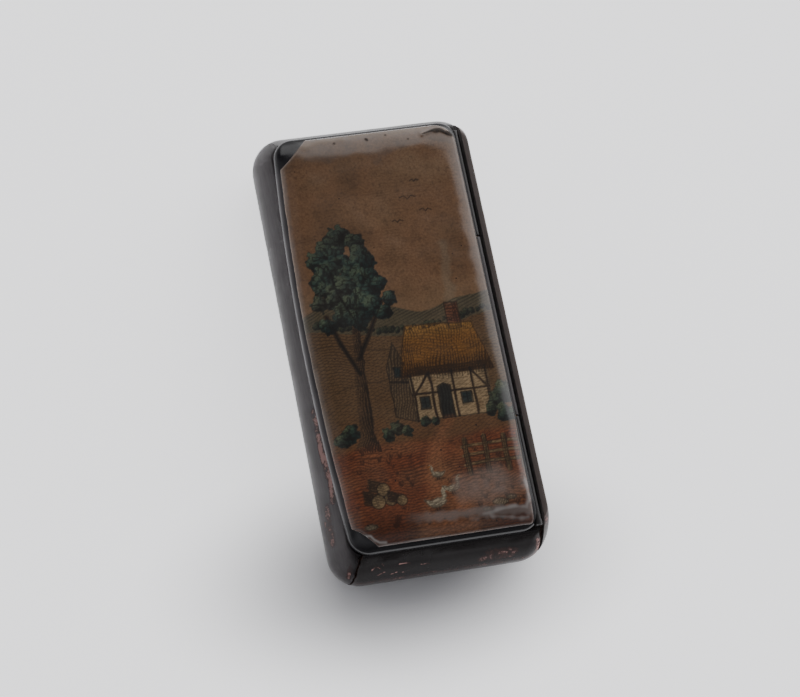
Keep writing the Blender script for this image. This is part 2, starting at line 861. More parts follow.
@dataclass
class BoxBody:
    """The body: base, three walls with the inner hollow, and the hinge-side wall with its rail.

    The bare numbers of wear, dust and dull are places in millimetres and shares from 0 to 1.
    """

    sizes: BoxSizes
    finishes: Finishes
    side_step: float = 0.32
    corner_steps: int = 22
    roll_steps: int = 24
    upper_steps: int = 26
    rim_steps: int = 6
    rail_steps: int = 9
    rail_rim_steps: int = 7
    rim_round: float = 0.28
    dent_depth: float = 0.07
    pit_depth: float = 0.018
    dent_core: float = 6.0
    flat_foot: float = 1.5
    hollow_steps: int = 30
    tongue: float = 0.6
    tongue_gap: float = 0.01
    seam_foot: float = 1.0
    over_rim: float = 0.5
    seam_bend: float = 12.0
    rubs: tuple = BODY_RUBS
    cracks: tuple = (Crack(31, 0.85, 0.4, 4.2, leans=True), Crack(35, 1.0, 0.4, 3.4, x=18.65))

    def levels(self) -> list:
        """Heights of the rings.

        Returns:
            Heights from the underside to just under the rim's rounding.
        """
        sizes = self.sizes
        low = sizes.belly * (1 - np.cos(np.linspace(0, math.pi / 2, self.roll_steps)))
        high = np.linspace(sizes.belly, sizes.joint - self.rim_round, self.upper_steps)
        return [*low, *high[1:]]

    def skin(self, stack: list) -> tuple:
        """Points and faces of a solid through a stack of (outline, height) pairs."""
        return skin([outline.ring(z, self.corner_steps, self.side_step) for outline, z in stack])

    def dented(self, points: Array) -> Array:
        """Draws points inwards by shallow dents, so that the walls aren't machine-straight.

        Args:
            points: places in millimetres, three coordinates each.

        Returns:
            The moved points.
        """
        wide = Mottle(seed=11, grain=11.0).at(points)
        small = Mottle(seed=12, grain=2.6).at(points)
        depth = self.dent_depth * (0.5 + 0.5 * wide) + self.pit_depth * (1 + small)
        depth *= smooth_step(0.0, self.flat_foot, points[:, 2])
        middle = np.array([self.sizes.width, self.sizes.length]) / 2 - self.dent_core
        core = np.clip(points[:, :2], -middle, middle)
        away = points[:, :2] - core
        length = np.maximum(np.linalg.norm(away, axis=1, keepdims=True), 1e-6)
        moved = points.copy()
        moved[:, :2] -= away / length * depth[:, None]
        return moved

    def envelope(self) -> Object:
        """Makes the body's whole outside, with its rim rounded at the joint.

        Returns:
            The object.
        """
        sizes = self.sizes
        stack = [(sizes.body_outline(z), z) for z in self.levels()]
        for turn in np.linspace(0, math.pi / 2, self.rim_steps)[1:]:
            z = sizes.joint - self.rim_round * (1 - math.sin(turn))
            stack.append((sizes.body_outline(z).shrunk(self.rim_round * (1 - math.cos(turn))), z))
        points, faces = self.skin(stack)
        return make_solid("body_envelope", self.dented(points), faces, self.finishes.japan)

    def rail_envelope(self) -> Object:
        """Makes the hinge-side wall's outside, up to the top of its rail.

        Returns:
            The object.
        """
        sizes = self.sizes
        start = sizes.joint - self.rim_round
        stack = [(sizes.body_outline(z), z) for z in self.levels()]
        for t in np.linspace(0, 1, self.rail_steps)[1:]:
            z = start + (sizes.rail_top - sizes.rail_round - start) * t
            outline = sizes.body_outline(z)
            inset = sizes.rail_end_inset * t * t
            stack.append((replace(outline, y0=outline.y0 + inset, y1=outline.y1 - inset), z))
        top, _ = stack[-1]
        for turn in np.linspace(0, math.pi / 2, self.rail_rim_steps)[1:]:
            inset = sizes.rail_round * (1 - math.cos(turn))
            z = sizes.rail_top - sizes.rail_round * (1 - math.sin(turn))
            stack.append((replace(top, x1=top.x1 - inset, y0=top.y0 + 2 * inset, y1=top.y1 - 2 * inset), z))
        points, faces = self.skin(stack)
        return make_solid("rail_envelope", self.dented(points), faces, self.finishes.rail)

    def hollow(self, name: str, grown: float, material: Material) -> Object:
        """Makes the room inside the walls.

        Args:
            name: the object's name.
            grown: how far it reaches into the walls.
            material: what it is made of.

        Returns:
            The object.
        """
        sizes = self.sizes
        levels = [(z, z) for z in np.linspace(0, sizes.joint, self.hollow_steps)]
        levels.append((sizes.joint, sizes.rail_top))
        stack = [(sizes.hollow_outline(z).shrunk(-grown), height) for z, height in levels]
        points, faces = self.skin(stack)
        return make_solid(name, points, faces, material)

    def seam_x(self, y: float) -> float:
        """Where the seam of the front wall lies, at a distance from the middle."""
        sizes = self.sizes
        return -sizes.width / 2 + sizes.seam_lap + (sizes.length / 2 - y) * sizes.seam_lean

    def seam_air(self) -> Object:
        """Makes the air of the open seams beside the hinge-side wall, short of an inner tongue of board.

        Returns:
            The object.
        """
        sizes, board = self.sizes, self.finishes.board
        low = (sizes.rail_x - sizes.open_seam, -sizes.length, self.seam_foot)
        high = (sizes.width, sizes.length, sizes.joint + self.over_rim)
        air = block("seam_air", low, high, board)
        return carve(air, self.hollow("tongue", self.tongue, board), Cut.REMOVE)

    def front_side(self, gap: float) -> Object:
        """Makes a prism that holds the front wall and ends at its two leaning seams.

        Args:
            gap: how far it stays short of the seams.

        Returns:
            The object.
        """
        sizes = self.sizes
        inner, far = sizes.length / 2 - self.seam_bend, sizes.length
        near_x, far_x = self.seam_x(inner) - gap, self.seam_x(far) - gap
        plan = [(near_x, -inner), (near_x, inner), (far_x, far), (-far, far), (-far, -far), (far_x, -far)]
        points, faces = skin([np.array([(x, y, z) for x, y in plan]) for z in (-1.0, sizes.rail_top)])
        return make_solid("front_side", points, [f[::-1] for f in faces], self.finishes.board)

    def wear(self, points: Array) -> Array:
        """Works out how far the japan is rubbed away.

        Args:
            points: places in millimetres, three coordinates each.

        Returns:
            From 0 to 1 for each place.
        """
        worn = np.zeros(len(points))
        for rub in self.rubs:
            worn = np.maximum(worn, rub.at(points))
        ragged = Mottle(seed=21, grain=0.9).at(points)
        foot = smooth_step(1.6, 0.3, points[:, 2]) * (0.3 + 0.25 * Mottle(seed=24, grain=4.0).at(points))
        return np.clip(np.maximum(worn, foot) * (1 + 0.3 * ragged), 0, 1)

    def dust(self, points: Array) -> Array:
        """Grime on the long front side, which is handled most, and a little elsewhere."""
        front = smooth_step(-16.4, -19.2, points[:, 0])
        return np.clip(0.06 + (0.84 + 0.24 * Mottle(seed=22, grain=5.0).at(points)) * front, 0, 1)

    def rail_dust(self, points: Array) -> Array:
        """Brown rubbed film on the rail, which fades down its outer side in patches.

        Args:
            points: places in millimetres, three coordinates each.

        Returns:
            From 0 to 1 for each place.
        """
        patch = Mottle(seed=23, grain=4.0).at(points)
        stretched = Mottle(seed=25, grain=3.0).at(points * np.array([1.0, 0.3, 1.0]))
        high = smooth_step(self.sizes.joint - 5.0, self.sizes.joint + 0.6, points[:, 2] + 1.4 * stretched)
        return np.clip(0.12 + 0.14 * stretched + (0.66 + 0.2 * patch) * high, 0, 1)

    def dull(self, points: Array) -> Array:
        """Ends and the hinge side's outer face, rubbed until they reflect less.

        Args:
            points: places in millimetres, three coordinates each.

        Returns:
            From 0 to 1 for each place.
        """
        ends = smooth_step(41.6, 43.4, np.abs(points[:, 1]))
        joint = self.sizes.joint
        outer = smooth_step(18.9, 20.1, points[:, 0]) * smooth_step(joint + 1.0, joint - 1.0, points[:, 2])
        handled = Mottle(seed=26, grain=5.0).at(points) + 0.5 * Mottle(seed=27, grain=1.4).at(points)
        return np.clip(np.maximum(ends, (0.55 + 0.35 * handled) * outer), 0, 1)

    def crack(self, crack: Crack) -> Object:
        """Makes a jagged blade of air that opens a seam of the near end wall.

        Args:
            crack: the seam.

        Returns:
            The object.
        """
        sizes = self.sizes
        levels = np.linspace(crack.low, sizes.joint + self.over_rim, crack.steps)
        place = np.c_[levels * 0, levels * 0 + crack.seed, levels]
        wide, fine = Mottle(crack.seed, 1.9).at(place), Mottle(crack.seed + 1, 0.6).at(place)
        wanders = crack.wander * (wide + 0.4 * fine)
        widths = crack.width * (0.5 + 0.3 * Mottle(crack.seed + 2, 1.1).at(place))
        rings = []
        for z, wander, half in zip(levels, wanders, widths):
            face = sizes.body_outline(z).y0
            ring = []
            # The blade is four times as wide outside the wall as at its inner edge
            outer, inner = face - crack.outside, face + crack.depth
            for y, side in ((outer, -half), (outer, half), (inner, half / 4), (inner, -half / 4)):
                middle = self.seam_x(-y) if crack.leans else crack.x
                ring.append((middle + wander + side, y, z))
            rings.append(np.array(ring))
        points, faces = skin(rings)
        return make_solid("crack", points, faces, self.finishes.board)

    def build(self) -> None:
        """Makes the five boards of the body."""
        sizes, finishes = self.sizes, self.finishes
        far = sizes.length
        foot = sizes.base + sizes.glue_line
        outside = self.envelope()

        base = copy_of(outside, "base_board_japanned")
        carve(base, block("under", (-far, -far, -1), (far, far, sizes.base), finishes.inside), Cut.KEEP)

        shell = outside
        shell.name = "walls"
        inner_face = (sizes.rail_x - self.tongue_gap, far, far)
        carve(shell, block("above_base", (-far, -far, foot), inner_face, finishes.board), Cut.KEEP)
        carve(shell, self.hollow("hollow", 0.0, finishes.inside), Cut.REMOVE)
        carve(shell, self.seam_air(), Cut.REMOVE)
        for crack in self.cracks:
            carve(shell, self.crack(crack), Cut.REMOVE)

        front = copy_of(shell, "front_wall_japanned")
        carve(front, self.front_side(sizes.glue_line), Cut.KEEP)
        carve(shell, self.front_side(0.0), Cut.REMOVE)
        ends = {}
        for end, low, high in ((End.NEAR, -far, 0.0), (End.FAR, 0.0, far)):
            wall = copy_of(shell, f"{end.name.lower()}_end_wall_japanned")
            ends[end] = carve(wall, block("half", (-far, low, 0), (far, high, far), finishes.board), Cut.KEEP)
        bpy.data.objects.remove(shell)

        rail = self.rail_envelope()
        rail.name = "hinge_side_wall_japanned"
        carve(rail, block("rail_side", (sizes.rail_x, -far, foot), (far, far, far), finishes.rail), Cut.KEEP)

        for piece, node in (
            (base, "base_board"), (front, "front_wall"), (ends[End.NEAR], "near_end_wall"),
            (ends[End.FAR], "far_end_wall"), (rail, "hinge_side_wall"),
        ):
            points = points_of(piece)
            lay_values(piece, "wear", self.wear(points))
            lay_values(piece, "dust", self.rail_dust(points) if piece == rail else self.dust(points))
            lay_values(piece, "dull", self.dull(points))
            settle(piece, Body.BOX, (node,))


# The hinge


@dataclass
class Hinge:
    """Strips with knuckles on the body and the lid, and the wire pin through them."""

    sizes: BoxSizes
    finishes: Finishes
    pin_radius: float = 0.22
    pin_clearance: float = 0.06
    pin_recess: float = 0.2
    bed_thickness: float = 3.2
    bed_width: float = 5.0
    web_half: float = 0.45
    web_rise: float = 1.0
    ease: float = 0.1
    ease_steps: int = 5
    knuckle_steps: int = 30
    knuckle_segments: int = 48
    bore_segments: int = 28
    pin_segments: int = 32
    # The pin's rounded ends: distances from its tips with the share of its radius there
    pin_dome: tuple = ((0.0, 0.35), (0.03, 0.7), (0.07, 0.92), (0.12, 1.0))

    def barrel(self, name: str, y0: float, y1: float) -> Object:
        """Makes one knuckle with eased ends.

        Args:
            name: the object's name.
            y0: its near end.
            y1: its far end.

        Returns:
            The object.
        """
        sizes, r = self.sizes, self.sizes.knuckle
        turns = np.linspace(0, math.pi / 2, self.ease_steps)
        eased = [(self.ease * (1 - math.sin(t)), r - self.ease * (1 - math.cos(t))) for t in turns]
        start = [(y0 + y, wide) for y, wide in eased[::-1]]
        end = [(y1 - y, wide) for y, wide in eased]
        span = [(y, r) for y in np.linspace(y0 + self.ease, y1 - self.ease, self.knuckle_steps)[1:-1]]
        profile, segments = [*start, *span, *end], self.knuckle_segments
        return turned(name, profile, sizes.hinge_x, sizes.hinge_z, segments, self.finishes.strip)

    def bore(self) -> Object:
        """Makes the hole for the pin.

        Returns:
            The object.
        """
        sizes, r = self.sizes, self.pin_radius + self.pin_clearance
        span = [(-sizes.length, r), (sizes.length, r)]
        return turned("bore", span, sizes.hinge_x, sizes.hinge_z, self.bore_segments, self.finishes.board)

    def build(self) -> None:
        """Makes the two strips and the pin."""
        sizes, strip = self.sizes, self.finishes.strip
        near, far = sizes.barrel
        middle = sizes.middle_knuckle
        bed_half = sizes.rim_y - sizes.end_wall - sizes.glue_line
        bed_low = sizes.joint - self.bed_thickness
        x, z, web = sizes.hinge_x, sizes.hinge_z, self.web_half

        body = block(
            "body_hinge_strip_japanned",
            (sizes.rail_x - self.bed_width, -bed_half, bed_low),
            (sizes.rail_x - sizes.glue_line, bed_half, sizes.joint),
            strip,
        )
        for y0, y1 in ((near, middle[0] - sizes.running_gap), (middle[1] + sizes.running_gap, far)):
            carve(body, self.barrel("knuckle", y0, y1), Cut.JOIN)
            low = (x - web, max(y0, -bed_half), bed_low + self.web_rise)
            carve(body, block("web", low, (x + web, min(y1, bed_half), z), strip), Cut.JOIN)
        carve(body, self.bore(), Cut.REMOVE)

        seat = sizes.joint + sizes.seat
        leaf = self.barrel("lid_hinge_strip_japanned", *middle)
        corner = (x, middle[1], seat + sizes.leaf_thickness)
        plate = block("leaf", (sizes.leaf_x, middle[0], seat), corner, strip)
        carve(leaf, plate, Cut.JOIN)
        carve(leaf, self.bore(), Cut.REMOVE)

        r = self.pin_radius
        profile = [(near + self.pin_recess + d, r * k) for d, k in self.pin_dome]
        profile += [(far - self.pin_recess - d, r * k) for d, k in self.pin_dome[::-1]]
        pin = turned("hinge_pin_wire", profile, x, z, self.pin_segments, self.finishes.brass)

        for piece, rubbed, dusty in ((body, 0.0, 0.02), (leaf, 0.1, 0.3)):
            points = points_of(piece)
            lay_values(piece, "wear", np.clip(rubbed + 0.12 * Mottle(seed=41, grain=2.2).at(points), 0, 1))
            lay_values(piece, "dust", np.full(len(points), dusty))
        settle(body, Body.BOX, ("body_hinge_strip",))
        settle(leaf, Body.LID, ("lid_hinge_strip",))
        settle(pin, Body.BOX, ("hinge_pin",))


# The lid


@dataclass
class Lid:
    """The pillow-shaped lid board, hollowed under and bowed along its front.

    The bare numbers of wear, dust and dull are places in millimetres and shares from 0 to 1.
    """

    sizes: BoxSizes
    finishes: Finishes
    edge_height: float = 1.7
    edge_slant: float = 0.15
    roll: float = 6.0
    hinge_roll_share: float = 0.7
    hinge_run_on: float = 0.75
    corner_radius: float = 4.0
    thumb_bow: float = 1.5
    recess: float = 1.8
    lip_clearance: float = 0.4
    edge_round: float = 0.24
    hinge_ease: float = 0.2
    side_step: float = 0.4
    corner_steps: int = 18
    edge_steps: int = 6
    roll_steps: int = 60
    cove_segments: int = 72
    dent_depth: float = 0.03
    middle_shares: tuple = (0.8, 0.6, 0.4, 0.2)
    board: Object | None = None

    @property
    def bottom(self) -> float:
        """Height of the lid's underside."""
        return self.sizes.joint + self.sizes.seat

    @property
    def top(self) -> float:
        """Height of the lid board's top."""
        return self.sizes.joint + self.sizes.lid_height

    @property
    def edge_top(self) -> float:
        """Height at which the edge starts to roll over."""
        return self.sizes.joint + self.edge_height

    def outline(self, inset: float) -> Outline:
        """The lid's outline, drawn in by less on the hinge side.

        Args:
            inset: how far it is drawn in.

        Returns:
            The outline.
        """
        sizes = self.sizes
        x1 = sizes.lid_edge_x + self.hinge_run_on - inset * self.hinge_roll_share
        y = sizes.rim_y - inset
        return Outline(sizes.rim_x + inset, x1, -y, y, self.corner_radius, self.thumb_bow)

    def envelope(self) -> Object:
        """Makes the lid's outside with eased lower and hinge-side edges.

        Returns:
            The object.
        """
        stack = []
        for turn in np.linspace(math.pi / 2, 0, self.edge_steps):
            inset = self.edge_slant + self.edge_round * (1 - math.cos(turn))
            stack.append((self.outline(inset), self.bottom + self.edge_round * (1 - math.sin(turn))))
        for t in np.linspace(0, 1, self.edge_steps)[1:-1]:
            z = self.bottom + self.edge_round + (self.edge_top - self.bottom - self.edge_round) * t
            stack.append((self.outline(self.edge_slant * (1 - t)), z))
        for turn in np.linspace(0, math.pi / 2, self.roll_steps):
            inset = self.roll * (1 - math.cos(turn))
            stack.append((self.outline(inset), self.edge_top + (self.top - self.edge_top) * math.sin(turn)))
        rings = [shape.ring(z, self.corner_steps, self.side_step) for shape, z in stack]
        # Rows inside the last ring keep the flat middle dense enough to follow
        last = rings[-1]
        centre = last[:, :2].mean(axis=0)
        for share in self.middle_shares:
            rings.append(np.c_[centre + (last[:, :2] - centre) * share, last[:, 2]])
        points, faces = skin(rings)
        rising = points[:, 2] > self.edge_top
        near_hinge = np.clip((points[:, 0] - self.sizes.lid_edge_x) / self.hinge_ease + 1, 0, 1)
        points[rising, 2] -= (self.hinge_ease * (1 - np.sqrt(1 - near_hinge**2)))[rising]
        points[:, 2] -= self.dent_depth * (1 + Mottle(seed=51, grain=7.0).at(points)) * rising
        return make_solid("lid_board_japanned", points, faces, self.finishes.lid_japan)

    def wear(self, points: Array) -> Array:
        """Light rubbing along the lower edge and at the corners.

        Args:
            points: places in millimetres, three coordinates each.

        Returns:
            From 0 to 1 for each place.
        """
        low = 1 - smooth_step(0.1, 0.5, points[:, 2] - self.bottom)
        corner = smooth_step(3.4, 2.6, self.sizes.rim_y - np.abs(points[:, 1]))
        patch = Mottle(seed=52, grain=3.0).at(points)
        return np.clip(0.16 * low + 0.06 * corner + 0.08 * patch, 0, 0.6)

    def dust(self, points: Array) -> Array:
        """Grime along the front edge, where a thumb lifts the lid; the bare corners stay black."""
        front = smooth_step(-15.5, -17.5, points[:, 0]) * smooth_step(37.0, 33.0, np.abs(points[:, 1]))
        return np.clip(0.05 + (0.3 + 0.12 * Mottle(seed=53, grain=4.0).at(points)) * front, 0, 1)

    def dull(self, points: Array) -> Array:
        """The rubbed lower edge and the far edge beyond the paper, which reflect little."""
        low = smooth_step(self.edge_top + 0.35, self.edge_top - 0.1, points[:, 2])
        return np.maximum(0.8 * low, 0.9 * smooth_step(39.9, 40.8, points[:, 1]))

    def build(self) -> None:
        """Makes the lid board."""
        sizes, finishes = self.sizes, self.finishes
        far = sizes.length
        inner_x = sizes.rim_x + sizes.wall - self.lip_clearance
        inner_y = sizes.rim_y - sizes.end_wall + self.lip_clearance
        leaf_x, face_x = sizes.leaf_x, sizes.hinge_x - sizes.cove
        low, high = sizes.middle_knuckle[0] - sizes.glue_line, sizes.middle_knuckle[1] + sizes.glue_line
        rebate_top = self.bottom + sizes.leaf_thickness + sizes.glue_line
        rebate_x, recess_end = leaf_x - sizes.glue_line, (leaf_x, inner_y, self.bottom + self.recess)
        lid, japan = self.envelope(), finishes.lid_japan
        ends = [(-far, sizes.cove), (far, sizes.cove)]
        for cutter, how in (
            (block("hinge_edge", (-far, -far, 0), (sizes.lid_edge_x, far, far), japan), Cut.KEEP),
            (block("hinge_face", (face_x, -far, 0), (far, far, sizes.hinge_z), japan), Cut.REMOVE),
            (turned("cove", ends, sizes.hinge_x, sizes.hinge_z, self.cove_segments, japan), Cut.REMOVE),
            (block("recess", (inner_x, -inner_y, 0), recess_end, finishes.inside), Cut.REMOVE),
            (block("rebate", (rebate_x, low, 0), (far, high, rebate_top), finishes.board), Cut.REMOVE),
        ):
            carve(lid, cutter, how)
        for name, values in (("wear", self.wear), ("dust", self.dust), ("dull", self.dull)):
            lay_values(lid, name, values(points_of(lid)))
        settle(lid, Body.LID, ("lid_board",))
        self.board = lid


# The print on the lid


@dataclass
class Canvas:
    """Places on the paper, across and up the picture, with what is painted there."""

    u: Array
    v: Array
    wash: Array = field(init=False)
    ink: Array = field(init=False)
    swell: Array = field(init=False)
    drift: Array = field(init=False)

    def __post_init__(self) -> None:
        """Starts with bare paper, and works out how lines swell and wander."""
        self.wash = np.zeros((len(self.u), 4))
        self.ink = np.zeros(len(self.u))
        self.swell = 1 + 0.4 * self.noise(61, 1.4)
        self.drift = self.noise(62, 3.0)

    def noise(self, seed: int, grain: float, stretch: float = 1.0) -> Array:
        """A random field over the paper, whose grains may be stretched across."""
        return Mottle(seed, grain).at(np.c_[self.u / stretch, self.v, np.full(len(self.u), 0.37)])

    def tint(self, mask: Array, colour: str, strength: float = 1.0) -> None:
        """Lays a wash of colour where the mask says."""
        share = (np.clip(mask, 0, 1) * strength)[:, None]
        self.wash = self.wash * (1 - share) + np.array(linear(colour)) * share

    def press(self, mask: Array, strength: float = 1.0) -> None:
        """Prints ink where the mask says."""
        self.ink = np.maximum(self.ink, np.clip(mask, 0, 1) * strength)

    def beside(self, points: list, margin: float) -> Array:
        """Numbers of the places within a margin of the extent of some points."""
        low, high = np.min(points, axis=0) - margin, np.max(points, axis=0) + margin
        return np.flatnonzero((self.u > low[0]) & (self.u < high[0]) & (self.v > low[1]) & (self.v < high[1]))

    def distance(self, points: list, margin: float = 2.0) -> Array:
        """Measures how far each place is from a line through points.

        Args:
            points: the line's corners.
            margin: how far from the line it is measured.

        Returns:
            Distances, large beyond the margin.
        """
        best = np.full(len(self.u), 1e3)
        here = self.beside(points, margin)
        u, v = self.u[here], self.v[here]
        for (x0, y0), (x1, y1) in zip(points, points[1:]):
            dx, dy = x1 - x0, y1 - y0
            t = np.clip(((u - x0) * dx + (v - y0) * dy) / (dx * dx + dy * dy), 0, 1)
            best[here] = np.minimum(best[here], np.hypot(u - x0 - t * dx, v - y0 - t * dy))
        return best

    def line(self, points: list, width: float = 0.2, strength: float = 1.0) -> None:
        """Draws an engraved line that swells and thins."""
        away = self.distance(points, 2 * width) / self.swell
        self.press(1 - smooth_step(0.3 * width, 1.05 * width, away), strength)

    def inside(self, points: list, soft: float = 0.2) -> Array:
        """Works out which places are inside a closed outline.

        Args:
            points: the outline's corners.
            soft: the width over which its edge fades.

        Returns:
            1 inside and 0 outside.
        """
        here = self.beside(points, soft)
        u, v = self.u[here], self.v[here]
        within = np.zeros(len(here), bool)
        for (x0, y0), (x1, y1) in zip(points, points[1:] + points[:1]):
            if y0 == y1:
                continue
            crosses = (v >= min(y0, y1)) & (v < max(y0, y1))
            within ^= crosses & (u < x0 + (v - y0) * (x1 - x0) / (y1 - y0))
        edge = smooth_step(0, soft, self.distance([*points, points[0]], soft)[here])
        mask = np.zeros(len(self.u))
        mask[here] = np.where(within, 0.5 + 0.5 * edge, 0.5 - 0.5 * edge)
        return mask

    def fill(self, points: list, colour: str, share: Array | float = 1.0, strength: float = 1.0) -> None:
        """Lays a wash inside a closed outline, on the share of it that is given."""
        self.tint(self.inside(points) * share, colour, strength)

    def band(self, points: list, inner: float, outer: float, colour: str) -> None:
        """Lays a wash along a line, full up to the inner distance from it and gone at the outer one."""
        self.tint(1 - smooth_step(inner, outer, self.distance(points)), colour)

    def border(self, points: list, width: float = 0.2, strength: float = 1.0) -> None:
        """Draws an engraved line all round a closed outline."""
        self.line([*points, points[0]], width, strength)

    def shade(
        self, tone: Array, angle: float, spacing: float, strength: float = 0.8, wobble: float = 0.3
    ) -> None:
        """Engraves parallel lines that swell with the tone.

        Args:
            tone: how dark each place is to look, from 0 to 1.
            angle: direction of the lines in degrees from across.
            spacing: distance from line to line in millimetres.
            strength: how dark the ink is.
            wobble: how far a line wanders.
        """
        turn = math.radians(angle)
        across = -self.u * math.sin(turn) + self.v * math.cos(turn) + wobble * self.drift
        wave = np.abs((across / spacing) % 1 - 0.5) * 2
        edge = 1 - np.clip(tone, 0, 1) * (0.85 + 0.2 * self.swell)
        self.press(smooth_step(edge - 0.16, edge + 0.16, wave) * (tone > 0.04), strength)

    def foliage(self, balls: list, dark: str, middle: str, pale: str, leaf: float = 0.8) -> None:
        """Paints clumps of leaves as balls lit from the upper left, the last ones in front.

        Args:
            balls: centre and radius of each clump.
            dark: wash in the shade.
            middle: wash where light starts.
            pale: wash at the brightest.
            leaf: size of the engraved curls.
        """
        ragged = 0.3 * self.noise(91, 1.3) + 0.22 * self.noise(92, 0.55)
        cover, lit = np.zeros(len(self.u)), np.zeros(len(self.u))
        for u, v, r in balls:
            du, dv = (self.u - u) / r, (self.v - v) / r
            away = np.hypot(du, dv) + ragged
            over = 1 - smooth_step(0.9, 1.04, away)
            light = np.clip(0.5 - 0.42 * du + 0.5 * dv - 0.3 * smooth_step(0.55, 1.0, away), 0, 1)
            lit = lit * (1 - over) + light * over
            cover = np.maximum(cover, over)
        self.tint(cover, dark)
        self.tint(cover * smooth_step(0.3, 0.62, lit + 0.15 * ragged), middle, 0.85)
        self.tint(cover * smooth_step(0.62, 0.95, lit + 0.25 * ragged), pale, 0.7)
        for seed, grain, most in ((93, leaf, 0.9), (94, 0.6 * leaf, 0.65)):
            curl = np.abs(self.noise(seed, grain))
            width = 0.08 + 0.26 * (1 - lit)
            self.press((1 - smooth_step(0.5 * width, width, curl)) * cover, most)


